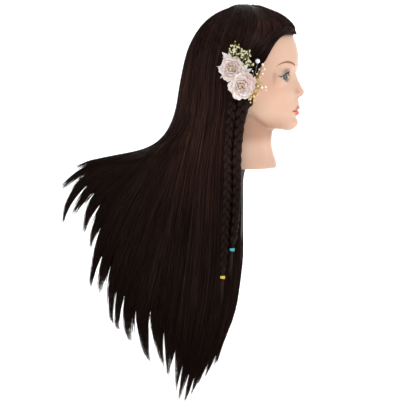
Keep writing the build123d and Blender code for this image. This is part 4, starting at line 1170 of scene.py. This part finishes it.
def petal_grid(length, width, cup, curl, ruffle, seed, nu=15, nv=13, thick=0.45):
    """A cupped petal as a thin closed sheet: x across, y along, z up, with its base at the origin."""
    r = rng(seed)
    u = np.linspace(-1, 1, nu)
    v = np.linspace(0, 1, nv)
    U, V = np.meshgrid(u, v, indexing="ij")
    w = width * (0.28 + 0.72 * np.sin(np.pi * np.minimum(V, 0.62) / 1.24)) * (1 - 0.22 * np.clip((V - 0.62) / 0.38, 0, 1) ** 2)
    notch = 1 - 0.07 * np.exp(-(U / 0.22) ** 2) * V**4 - 0.40 * np.abs(U) ** 2.3 * V**1.6
    x_ = U * w / 2
    y_ = V * length * notch
    ph = r.uniform(0, 6.28, 4)
    z_ = (cup * (np.abs(U) ** 1.8) * width * 0.33 * (0.4 + 0.6 * np.sin(np.pi * V * 0.8)) + curl * length * (-(V**2.6))
          + ruffle * V**3 * (np.sin(5.5 * U + ph[0]) + 0.6 * np.sin(11 * U + ph[1])) + 0.25 * ruffle * np.sin(9 * V + ph[2]) * U)
    top = np.stack([x_, y_, z_], -1)
    gu = np.gradient(top, axis=0)
    gv = np.gradient(top, axis=1)
    nn_ = np.cross(gu, gv)
    nn_ /= np.maximum(np.linalg.norm(nn_, axis=2), 1e-9)[..., None]
    edge = np.minimum(1, np.minimum((1 - np.abs(U)) * 5, (1 - V) * 6 + 0.15)) ** 0.5
    half_t = (thick / 2 * (0.25 + 0.75 * edge))[..., None]
    A = (top + nn_ * half_t).reshape(-1, 3)
    B = (top - nn_ * half_t).reshape(-1, 3)
    idx = np.arange(nu * nv).reshape(nu, nv)
    F = []
    N = nu * nv
    for i in range(nu - 1):
        for j in range(nv - 1):
            a, b, c, d = idx[i, j], idx[i + 1, j], idx[i + 1, j + 1], idx[i, j + 1]
            F.append((a, b, c, d))
            F.append((N + d, N + c, N + b, N + a))
    rim = [idx[i, 0] for i in range(nu)] + [idx[nu - 1, j] for j in range(1, nv)] + [idx[i, nv - 1] for i in range(nu - 2, -1, -1)] + [idx[0, j] for j in range(nv - 2, 0, -1)]
    for a, b in zip(rim, rim[1:] + rim[:1]):
        F.append((a, N + a, N + b, b))
    vv = np.concatenate([V.ravel(), V.ravel()])
    return np.concatenate([A, B]), F, vv


def frame_from(axis, spin=0.0):
    """Rotation whose z goes along axis."""
    axis = np.array(axis, float) / np.linalg.norm(axis)
    h = np.array([0, 0, 1.0]) if abs(axis[2]) < 0.9 else np.array([0, 1.0, 0])
    a = np.cross(h, axis)
    a /= np.linalg.norm(a)
    b = np.cross(axis, a)
    c, s = math.cos(spin), math.sin(spin)
    return np.stack([a * c + b * s, -a * s + b * c, axis], 1)


def rose(name, centre, radius, height, axis, seed, mat, body, nodes):
    r = rng(seed)
    R = frame_from(axis)
    V, F, A = [], [], []
    off = 0
    layers = [(6, 1.00, 74, 1.15, 0.12, 0.0), (5, 0.92, 62, 1.10, 0.12, 0.10), (5, 0.78, 48, 1.00, 0.16, 0.22), (4, 0.62, 34, 0.90, 0.18, 0.32),
              (4, 0.48, 22, 0.74, 0.20, 0.40), (3, 0.38, 12, 0.60, 0.20, 0.46)]
    for li, (count, L, tilt, W_, curl, up) in enumerate(layers):
        for k in range(count):
            s = seed * 100 + li * 10 + k
            v, f, t = petal_grid(radius * L * r.uniform(0.94, 1.06), radius * W_ * r.uniform(0.9, 1.08), r.uniform(0.7, 1.1), -curl * r.uniform(0.4, 1.3) if tilt < 40 else curl * r.uniform(0.2, 1.1), radius * 0.055, s)
            a = 2 * math.pi * (k + 0.5 * (li % 2)) / count + r.uniform(-0.16, 0.16)
            el = math.radians(tilt + r.uniform(-5, 5))
            # petal grows outward: y along the tilted direction, z towards the flower's axis
            d = np.array([math.cos(a) * math.sin(el), math.sin(a) * math.sin(el), math.cos(el)])
            n_ = np.array([-math.cos(a) * math.cos(el), -math.sin(a) * math.cos(el), math.sin(el)])
            x_ = np.cross(d, n_)
            M = np.stack([x_, d, n_], 1)
            base = np.array([math.cos(a), math.sin(a), 0]) * radius * 0.07 + np.array([0, 0, up * height * 0.35])
            v = v @ M.T + base
            V.append(v @ R.T + centre)
            F += [tuple(int(q) + off for q in g) for g in f]
            off += len(v)
            A.append(t * (0.75 + 0.25 * (li < 2)) + 0.0)
    V = np.concatenate(V)
    V[:, 0] = np.minimum(V[:, 0], -91.4)
    o = make(name, V, F, mat, body, nodes)
    attribute(o, "along", np.concatenate(A))
    return o


def petal_material(name, inner, outer, fold):
    m, nt, b = material(name, outer, 0.72, spec=0.25, sheen=0.25, sss=0.12)
    b.inputs["Subsurface Radius"].default_value = (0.002, 0.0015, 0.001)
    at_ = nt.nodes.new("ShaderNodeAttribute")
    at_.attribute_name = "along"
    c = ramp(nt, at_.outputs["Fac"], [(0.0, inner), (0.45, fold), (0.85, outer), (1.0, tuple(min(1, q * 1.06) for q in outer))])
    n_ = noise(nt, 220, 4)
    c2 = mix(nt, maths(nt, "MULTIPLY", n_, 0.30), c, fold)
    nt.links.new(c2, b.inputs["Base Color"])
    bump(nt, b, noise(nt, 900, 3), 0.25, 0.0004)
    return m


ROSE_A = petal_material("rose_blush", srgb(206, 172, 160), srgb(238, 226, 220), srgb(222, 204, 198))
ROSE_B = petal_material("rose_ivory", srgb(218, 184, 172), srgb(246, 236, 230), srgb(230, 212, 206))
up_c = at(231.3, 68.3, -96.5)
low_c = at(241.2, 85.2, -97.5)
rose("rose_upper_petals", up_c + [5.0, -0.5, -1.0], 22.5, 16, (-1, 0.02, 0.10), 5, ROSE_A, "ornament", ("rose_upper",))
rose("rose_lower_petals", low_c + [5.5, -0.5, 0], 24.5, 18, (-1, -0.10, -0.12), 9, ROSE_B, "ornament", ("rose_lower",))


ROSE_C = petal_material("petal_mauve", srgb(196, 158, 150), srgb(224, 200, 196), srgb(208, 178, 174))
V, F, A, off = [], [], [], 0
for k, (ang, L, W_, lift_) in enumerate([(172, 25, 22, 4.0), (205, 24, 20, 2.5), (140, 22, 19, 5.5), (188, 20, 18, 8.0)]):
    v, f, t = petal_grid(L, W_, 0.8, 0.10, 1.2, 300 + k, thick=0.5)
    a = math.radians(ang)
    d = np.array([-0.30, math.cos(a), math.sin(a)])
    d /= np.linalg.norm(d)
    n_ = np.array([-1.0, 0, 0]) - 0.30 * np.array([0, -math.cos(a), -math.sin(a)])
    n_ -= (n_ @ d) * d
    n_ /= np.linalg.norm(n_)
    v = v @ np.stack([np.cross(d, n_), d, n_], 1).T + np.array([-92.0 - lift_, -24, 151])
    V.append(v)
    F += [tuple(int(q) + off for q in g) for g in f]
    off += len(v)
    A.append(t)
o = make("mauve_petals", np.concatenate(V), F, ROSE_C, "ornament")
attribute(o, "along", np.concatenate(A))


def ball(c, r, seg=14, rings=9):
    V = [(c[0], c[1], c[2] + r)]
    for i in range(1, rings):
        a = math.pi * i / rings
        for j in range(seg):
            t = 2 * math.pi * j / seg
            V.append((c[0] + r * math.sin(a) * math.cos(t), c[1] + r * math.sin(a) * math.sin(t), c[2] + r * math.cos(a)))
    V.append((c[0], c[1], c[2] - r))
    F = [(0, 1 + j, 1 + (j + 1) % seg) for j in range(seg)]
    for i in range(rings - 2):
        for j in range(seg):
            F.append((1 + i * seg + j, 1 + (i + 1) * seg + j, 1 + (i + 1) * seg + (j + 1) % seg, 1 + i * seg + (j + 1) % seg))
    k = len(V) - 1
    F += [(k, 1 + (rings - 2) * seg + (j + 1) % seg, 1 + (rings - 2) * seg + j) for j in range(seg)]
    return np.array(V), F, np.zeros((len(V), 2))


def pearl_material(name, colour, tint):
    m, nt, b = material(name, colour, 0.16, spec=0.6, coat=0.5, coat_rough=0.08)
    lw = node(nt, "ShaderNodeLayerWeight", Blend=0.35)
    n_ = noise(nt, 300, 2)
    c = mix(nt, maths(nt, "MULTIPLY", n_, 0.6), colour, tint)
    nt.links.new(c, b.inputs["Base Color"])
    return m


PEARL = pearl_material("cream_pearl", srgb(246, 234, 208), srgb(232, 210, 190))
GOLDP = pearl_material("gold_pearl", srgb(240, 208, 140), srgb(216, 172, 100))

# beads at the roses' hearts
parts = []
for c, spread in ((up_c, 2.4), (low_c, 2.6)):
    for dy, dz, dx, rr_ in ((-spread, 1.4, -13.5, 1.55), (spread * 0.9, 1.9, -13.0, 1.5), (0.1, -2.2, -14.0, 1.6), (-0.4, 0.4, -15.0, 1.4)):
        parts.append(ball((c[0] + dx + 5, c[1] + dy, c[2] + dz), rr_))
V, F, U = join(parts)
make("rose_beads", V, F, GOLDP, "ornament", ("rose_pearls",))


def wire(a, b, r, bow=(0, 0, 0), seg=7, n=9):
    a, b = np.array(a, float), np.array(b, float)
    t = np.linspace(0, 1, n)[:, None]
    p = a * (1 - t) + b * t + np.array(bow) * (4 * t * (1 - t))
    d = b - a
    s = np.cross(d, [0.3, 0.2, 0.93])
    return tube(p, np.tile(s / np.linalg.norm(s), (n, 1)), np.full(n, r), np.full(n, r), seg)


# gypsophila: bunches of tiny five-petalled flowers and buds on thin stems
GYP = [(-6, 190, -97, -8, 213), (-9, 190, -99, -15, 212), (-11, 189, -96, -21, 209), (-13, 188, -100, -12, 205), (-14, 186, -97, -27, 205),
       (-16, 184, -101, -21, 200), (-17, 182, -97, -33, 198), (-18, 180, -100, -28, 193), (-19, 178, -98, -35, 190), (-20, 176, -96, -31, 184),
       (-3, 191, -97, -3, 207), (-19.5, 174, -100, -26.5, 180), (-5, 190.5, -101, -5.5, 202), (-22, 172, -95, -38, 181)]
r = rng(77)
stems, blooms, hearts, kinds = [], [], [], []


def floret(c, size, axis, spin):
    R = frame_from(axis, spin)
    out = []
    for k in range(5):
        a = 2 * math.pi * k / 5
        v, f, u = ball((0, 0, 0), 1.0, 8, 6)
        v = v * [size * 0.52, size * 0.40, size * 0.16]
        v = v + [size * 0.50, 0, size * 0.10]
        c_, s_ = math.cos(a), math.sin(a)
        v = v @ np.array([[c_, -s_, 0], [s_, c_, 0], [0, 0, 1]]).T
        out.append((v @ R.T + c, f, u))
    return out


for (y0, z0, x1, y1, z1) in GYP:
    root = np.array([-92.2, y0, z0])
    end = np.array([x1, y1, z1], float)
    fork = root * 0.3 + end * 0.7
    stems.append(wire(root, fork, 0.42, (-0.6, 0.4, 0.5)))
    for k in range(5):
        tip = end + r.normal(0, 1, 3) * [1.8, 2.9, 2.9]
        tip[0] = min(tip[0], -93.0)
        stems.append(wire(fork, tip, 0.24, r.normal(0, 0.5, 3), 6, 6))
        axis = np.array([-1.0, r.normal(0, 0.45), r.normal(0, 0.45)])
        size = r.uniform(1.5, 2.3)
        if r.random() < 0.72:
            blooms += floret(tip, size, axis, r.uniform(0, 6))
            hearts.append(ball(tip + np.array([-0.35 * size, 0, 0]), size * 0.30, 8, 6))
        else:
            v, f, u = ball((0, 0, 0), size * 0.48, 8, 6)
            hearts.append((v * [1, 1, 1.35] + tip, f, u))

stem_m, nt, b = material("stem_green", srgb(122, 130, 78), 0.6)
nt.links.new(mix(nt, noise(nt, 260, 2), srgb(96, 106, 58), srgb(150, 152, 96)), b.inputs["Base Color"])
gyp_m, nt, b = material("gypsophila_petals", srgb(236, 228, 172), 0.75, sheen=0.2, sss=0.1)
b.inputs["Subsurface Radius"].default_value = (0.001, 0.001, 0.0006)
nt.links.new(ramp(nt, noise(nt, 130, 2), [(0.30, srgb(206, 196, 146)), (0.5, srgb(228, 220, 184)), (0.70, srgb(240, 236, 218))]), b.inputs["Base Color"])
heart_m, nt, b = material("gypsophila_hearts", srgb(206, 190, 96), 0.7)
nt.links.new(mix(nt, noise(nt, 300, 2), srgb(186, 176, 84), srgb(226, 214, 130)), b.inputs["Base Color"])
V, F, U = join(stems)
make("gypsophila_stems", V, F, stem_m, "ornament", ("gyp_stems",))
nb = sum(len(p[1]) for p in blooms)
V, F, U = join(blooms + hearts)
make("gypsophila_flowers", V, F, [gyp_m, heart_m], "ornament", ("gyp_blossoms",), index=[0] * nb + [1] * (len(F) - nb))


# leaves: pointed blades with a raised midrib
def blade(base, angle, length, width, x, bend, seed, twist=0.15):
    v, f, t = petal_grid(length, width, 0.25, -bend, 0.25, seed, 11, 15, 0.4)
    t_ = v[:, 1] / length
    pinch = np.clip(1.05 - np.clip(t_, 0, 1) ** 3.0, 0.02, 1)
    v = v * [1, 1, 1]
    v[:, 0] *= pinch
    v[:, 2] += 0.35 * np.exp(-(v[:, 0] / 0.7) ** 2)
    a = math.radians(angle)
    d = np.array([0, math.cos(a), math.sin(a)])
    n_ = np.array([-1.0, 0, 0]) + twist * np.array([0, -math.sin(a), math.cos(a)])
    n_ /= np.linalg.norm(n_)
    x_ = np.cross(d, n_)
    out = v @ np.stack([x_, d, n_], 1).T + np.array([x, *base])
    return out, f, np.stack([t, t], 1)


parts = [blade((0, 190), 42, 19, 8.5, -94.4, 0.10, 41), blade((4, 176), 5, 20, 5.0, -93.0, 0.06, 42), blade((4, 168), -40, 17, 8, -93.2, 0.12, 43),
         blade((-22, 166), 150, 20, 8, -93.4, 0.10, 44), blade((-24, 170), 120, 17, 6, -96.4, 0.12, 45), blade((-2, 189), 75, 15, 6, -95.5, 0.12, 46)]
V, F, U = join(parts)
leaf_m, nt, b = material("leaf_fabric", srgb(232, 230, 222), 0.7, sheen=0.2)
at_ = nt.nodes.new("ShaderNodeAttribute")
at_.attribute_name = "along"
nt.links.new(mix(nt, noise(nt, 160, 3), ramp(nt, at_.outputs["Fac"], [(0.0, srgb(196, 200, 176)), (0.5, srgb(228, 226, 218)), (1.0, srgb(240, 238, 236))]), srgb(214, 208, 212)), b.inputs["Base Color"])
lv = make("pale_leaves", V, F, leaf_m, "ornament", ("white_leaves",))
attribute(lv, "along", U[:, 0])

# crumpled gold organza behind the pearls
parts = []
for k, (y, z, ang, L, w_, x_) in enumerate([(-36, 146, 176, 24, 15, -93.4), (-34, 142, -128, 21, 12, -94.6), (-36, 150, 156, 18, 10, -95.6), (-35, 143, -156, 18, 10, -97.0)]):
    v, f, t = petal_grid(L, w_, 0.5, -0.10, 1.0, 60 + k, 23, 23, 0.3)
    v[:, 2] += 0.5 * np.sin(v[:, 0] * 0.9 + k) + 0.4 * np.sin(v[:, 1] * 0.7 + v[:, 0] * 0.5 + 2 * k)
    a = math.radians(ang)
    d = np.array([0, math.cos(a), math.sin(a)])
    n_ = np.array([-1.0, 0, 0])
    parts.append((v @ np.stack([np.cross(d, n_), d, n_], 1).T + np.array([x_, y, z]), f, np.stack([t, t], 1)))
V, F, U = join(parts)
V[:, 0] = np.minimum(V[:, 0], -91.3)
org_m, nt, b = material("organza", srgb(222, 186, 118), 0.36, spec=0.5, sheen=0.5, alpha=0.72)
nt.links.new(ramp(nt, noise(nt, 240, 4, 0.7), [(0.3, srgb(196, 160, 104)), (0.5, srgb(222, 192, 138)), (0.7, srgb(240, 222, 180))]), b.inputs["Base Color"])
bump(nt, b, noise(nt, 1600, 2), 0.4, 0.0003)
make("gold_organza_petals", V, F, org_m, "ornament", ("gold_organza",))

# pearls and beads on wires
SPRAY = [(-46, 162, -93, -57, 182, 2.2), (-47.5, 159, -92, -60, 174, 2.0), (-48, 156, -94, -57, 166, 2.0), (-44, 139, -100.5, -57, 143.5, 2.4),
         (-44, 135, -100.5, -63.5, 144, 2.2), (-36, 130, -99, -42.5, 128.5, 2.1), (-33, 129, -97, -36.5, 123.5, 2.0), (-38, 134, -96, -48.5, 132, 1.8),
         (-34.5, 129.6, -94, -43.5, 121, 1.6)]
wires, creams, golds = [], [], []
for i, (y0, z0, x1, y1, z1, rad) in enumerate(SPRAY):
    a, b_ = np.array([-92.0, y0, z0]), np.array([x1, y1, z1], float)
    wires.append(wire(a, b_, 0.3, (-0.8, 0, 0.8)))
    (golds if i >= 5 else creams).append(ball(b_, rad, 18, 12))
extra = rng(5)
for (px_, py_, xx, rad, kind) in [(263.5, 65.5, -88.5, 1.5, 0), (259.5, 69.5, -91, 1.7, 0), (262.5, 71, -90, 1.3, 0), (257, 74, -93, 1.6, 0), (260, 77, -92, 1.4, 0),
                                  (256, 79, -94, 1.3, 0), (254.5, 77.5, -96, 1.6, 0), (252.5, 71, -97, 1.4, 0), (266, 90, -93, 1.6, 0), (259, 93, -97, 1.2, 1),
                                  (251.5, 97, -99, 1.5, 1), (254.5, 97, -97, 1.5, 1), (256.5, 95.5, -97, 1.2, 1), (249, 99.5, -97, 1.3, 1), (254, 100, -95, 1.3, 1),
                                  (250.5, 102.5, -95, 1.3, 1), (252, 93.5, -100, 1.7, 1), (255.5, 91.5, -100, 1.4, 1), (258, 86, -99, 1.5, 0)]:
    p = at(px_, py_, xx)
    root = np.array([-93.0, -44 + extra.normal(0, 1.5), 158 + extra.normal(0, 2)]) if not kind and py_ < 82 else np.array([-94.0, -36 + extra.normal(0, 1.5), 138 + extra.normal(0, 2)])
    wires.append(wire(root, p, 0.22, (-0.9, 0, 0.6), 6, 7))
    (golds if kind else creams).append(ball(p, rad, 14, 9))
V, F, U = join(wires)
wire_m, nt, b = material("gilt_wire", srgb(208, 176, 112), 0.28, metal=1.0)
nt.links.new(mix(nt, noise(nt, 500, 2), srgb(190, 156, 92), srgb(224, 196, 136)), b.inputs["Base Color"])
make("gilt_wires", V, F, wire_m, "ornament", ("pearl_wires",))
nc = sum(len(p[1]) for p in creams)
V, F, U = join(creams + golds)
make("pearls_on_wires", V, F, [PEARL, GOLDP], "ornament", ("spray_pearls",), index=[0] * nc + [1] * (len(F) - nc))

# crystal in its cup
cc = np.array([-89.0, -47.6, 187.4])
m_st, nt, b = material("crystal", (0.93, 0.95, 0.98), 0.03, spec=0.9, coat=1.0, coat_rough=0.02, ior=1.6)
n_ = noise(nt, 700, 1)
nt.links.new(ramp(nt, n_, [(0.35, (0.62, 0.68, 0.78)), (0.5, (0.95, 0.96, 0.98)), (0.65, (0.80, 0.76, 0.86))]), b.inputs["Base Color"])
V, F = [], []
for (rad, h, n_f, ph) in ((3.6, 0.6, 16, 0.0), (3.5, 1.5, 16, 0.0), (2.6, 3.0, 8, 0.2), (1.9, 3.3, 8, 0.2)):
    for k in range(16):
        kk = k if n_f == 16 else (k // 2) * 2 + 0.5
        a = 2 * math.pi * (kk + ph) / 16
        V.append((cc[0] - h, cc[1] + rad * math.cos(a), cc[2] + rad * math.sin(a)))
for i in range(3):
    for k in range(16):
        a, b_, c_, d_ = i * 16 + k, i * 16 + (k + 1) % 16, (i + 1) * 16 + (k + 1) % 16, (i + 1) * 16 + k
        F += [(a, b_, c_), (a, c_, d_)]
F.append(tuple(range(48, 64)))
F.append(tuple(range(15, -1, -1)))
bm = bmesh.new()
bv = [bm.verts.new(Vector(v)) for v in V]
for f_ in F:
    try:
        bm.faces.new([bv[i] for i in f_])
    except ValueError:
        pass
bmesh.ops.remove_doubles(bm, verts=bm.verts, dist=0.01)
bmesh.ops.dissolve_degenerate(bm, edges=bm.edges, dist=0.001)
bmesh.ops.recalc_face_normals(bm, faces=bm.faces)
bm.verts.index_update()
V = [tuple(v.co) for v in bm.verts]
F = [tuple(v.index for v in f_.verts) for f_ in bm.faces]
bm.free()
cup = tube(np.array([[cc[0] - 0.0, cc[1], cc[2]], [cc[0] - 0.3, cc[1], cc[2]], [cc[0] - 1.0, cc[1], cc[2]], [cc[0] - 1.1, cc[1], cc[2]]]), np.tile([0, 1.0, 0], (4, 1)), np.array([3.4, 4.0, 4.1, 3.8]), np.array([3.4, 4.0, 4.1, 3.8]), 28)
prongs = [ball((cc[0] - 1.5, cc[1] + 3.75 * math.cos(a), cc[2] + 3.75 * math.sin(a)), 0.55, 8, 6) for a in np.linspace(0.3, 0.3 + 2 * math.pi, 7)[:-1]]
stalk = wire((-92.0, -43.5, 166), cc + [0.4, 0, 0], 0.3, (-0.5, 0, 0.5))
silver_m, nt, b = material("silver_cup", srgb(206, 206, 210), 0.22, metal=1.0)
nt.links.new(mix(nt, noise(nt, 600, 2), srgb(190, 190, 196), srgb(222, 222, 226)), b.inputs["Base Color"])
n1 = len(F)
V2, F2, U2 = join([(np.array(V), F, np.zeros((len(V), 2))), cup, stalk] + prongs)
o = make("crystal_and_cup", V2, F2, [m_st, silver_m], "ornament", ("crystal_stone",), smooth=False, index=[0] * n1 + [1] * (len(F2) - n1))

# felt backing: a soft-edged oval
parts = []
dirv = np.array([0.0, -0.61, -0.79])
dirv /= np.linalg.norm(dirv)
acr = np.cross([-1.0, 0, 0], dirv)
cen = np.array([-90.0, -14, 164]) + dirv * -1
V, F = [], []
prof = [(0.0, 0.05), (0.5, 0.0), (0.94, 0.03), (1.0, 0.35), (1.0, 0.85), (0.95, 1.15), (0.5, 1.2), (0.0, 1.18)]
seg = 56
for (q, h) in prof[1:-1]:
    for k in range(seg):
        a = 2 * math.pi * k / seg
        V.append(cen + dirv * 27 * q * math.cos(a) + acr * 15 * q * math.sin(a) + np.array([-h, 0, 0]))
n_r = len(prof) - 2
F = [(i * seg + k, (i + 1) * seg + k, (i + 1) * seg + (k + 1) % seg, i * seg + (k + 1) % seg) for i in range(n_r - 1) for k in range(seg)]
V.append(cen + [-0.05, 0, 0])
V.append(cen + [-1.18, 0, 0])
k0 = len(V) - 2
F += [(k0, k, (k + 1) % seg) for k in range(seg)] + [(k0 + 1, (n_r - 1) * seg + (k + 1) % seg, (n_r - 1) * seg + k) for k in range(seg)]
felt_m, nt, b = material("felt", srgb(206, 192, 170), 0.95, sheen=0.6)
nn = noise(nt, 1500, 5, 0.8)
nt.links.new(mix(nt, nn, srgb(176, 160, 136), srgb(226, 214, 194)), b.inputs["Base Color"])
bump(nt, b, nn, 0.9, 0.0006)
make("felt_oval", V, F, felt_m, "ornament", ("felt_backing",))


# ------------------------------------------------------------------ materials of the pieces kept from the CAD
def metal(name, lo, hi, rough, scale):
    m, nt, b = material(name, lo, rough, metal=1.0)
    tc_ = node(nt, "ShaderNodeTexCoord").outputs["Object"]
    mp_ = nt.nodes.new("ShaderNodeMapping")
    mp_.inputs["Scale"].default_value = scale
    nt.links.new(tc_, mp_.inputs[0])
    q = noise(nt, 1.0, 4, 0.6, mp_.outputs[0])
    nt.links.new(mix(nt, q, lo, hi), b.inputs["Base Color"])
    nt.links.new(maths(nt, "MULTIPLY_ADD", q, 0.2, rough - 0.1), b.inputs["Roughness"])
    bump(nt, b, q, 0.15, 0.0001)
    return m


STEEL = metal("clip_steel", srgb(168, 170, 174), srgb(206, 208, 210), 0.30, (300, 2400, 300))
PIN = metal("pin_steel", srgb(120, 122, 128), srgb(172, 174, 180), 0.34, (1800, 300, 300))
for n_ in ("clip_lower", "clip_upper", "clip_pivot", "clip_spring"):
    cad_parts[n_].material_slots[0].material = STEEL
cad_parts["fringe_pin"].material_slots[0].material = PIN
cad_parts["scalp_cap"].material_slots[0].material = skin
black, nt, b = material("socket_plastic", srgb(34, 34, 36), 0.5)
q = noise(nt, 900, 4)
nt.links.new(mix(nt, q, srgb(26, 26, 28), srgb(48, 48, 50)), b.inputs["Base Color"])
bump(nt, b, q, 0.3, 0.0003)
grey, nt, b = material("plug_plastic", srgb(196, 176, 160), 0.55)
q = noise(nt, 700, 4)
nt.links.new(mix(nt, q, srgb(182, 160, 144), srgb(212, 192, 176)), b.inputs["Base Color"])
bump(nt, b, q, 0.3, 0.0003)
foam, nt, b = material("rigid_foam", srgb(226, 210, 170), 0.9)
q = noise(nt, 500, 6, 0.8)
nt.links.new(mix(nt, q, srgb(206, 186, 140), srgb(236, 224, 190)), b.inputs["Base Color"])
bump(nt, b, q, 0.8, 0.001)
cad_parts["socket_sleeve"].material_slots[0].material = black
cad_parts["neck_plug"].material_slots[0].material = grey
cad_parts["foam_core"].material_slots[0].material = foam


# ------------------------------------------------------------------ lashes along the upper lids
lash_m, nt, b = material("lash_fibre", srgb(22, 16, 16), 0.5, spec=0.2)
nt.links.new(mix(nt, noise(nt, 600, 2), srgb(14, 10, 10), srgb(34, 26, 24)), b.inputs["Base Color"])
for s, nm in ((-1, "lashes_right"), (1, "lashes_left")):
    r = rng(90 + s)
    parts = []
    for k in range(46):
        q = (k + r.uniform(-0.3, 0.3)) / 45
        lx = 19.5 + 27.0 * q
        lz = float(lid_up(np.array([lx]))[0]) - 0.1
        dx_ = lx - EYE[0]
        lf = EYE[1] + math.sqrt(max((EYE_R + 1.3) ** 2 - dx_**2 - (lz - EYE[2]) ** 2, 4.0))
        out = np.array([(lx - EYE[0]) / 17.0, -(lf - EYE[1]) / 17.0 * 1.0, 0.0])
        out /= np.linalg.norm(out)
        fan = np.array([0.45 * (q - 0.35), 0, 0])
        L = 4.0 + 3.0 * q + r.uniform(-0.5, 0.5)
        a = np.array([lx, -lf + 0.6, lz])
        t = np.linspace(0, 1, 6)[:, None]
        path = a + (out + fan) * L * (t - 0.28 * t**2) + np.array([0, 0, 1.0]) * L * (0.05 * t + 0.55 * t**2)
        path[:, 0] *= s
        parts.append(tube(path, np.tile([0.0, 0.2, 1.0], (6, 1)), np.linspace(0.17, 0.04, 6), np.linspace(0.17, 0.04, 6), 5))
    V, F, U = join(parts)
    make(nm, V, F, lash_m, "head")
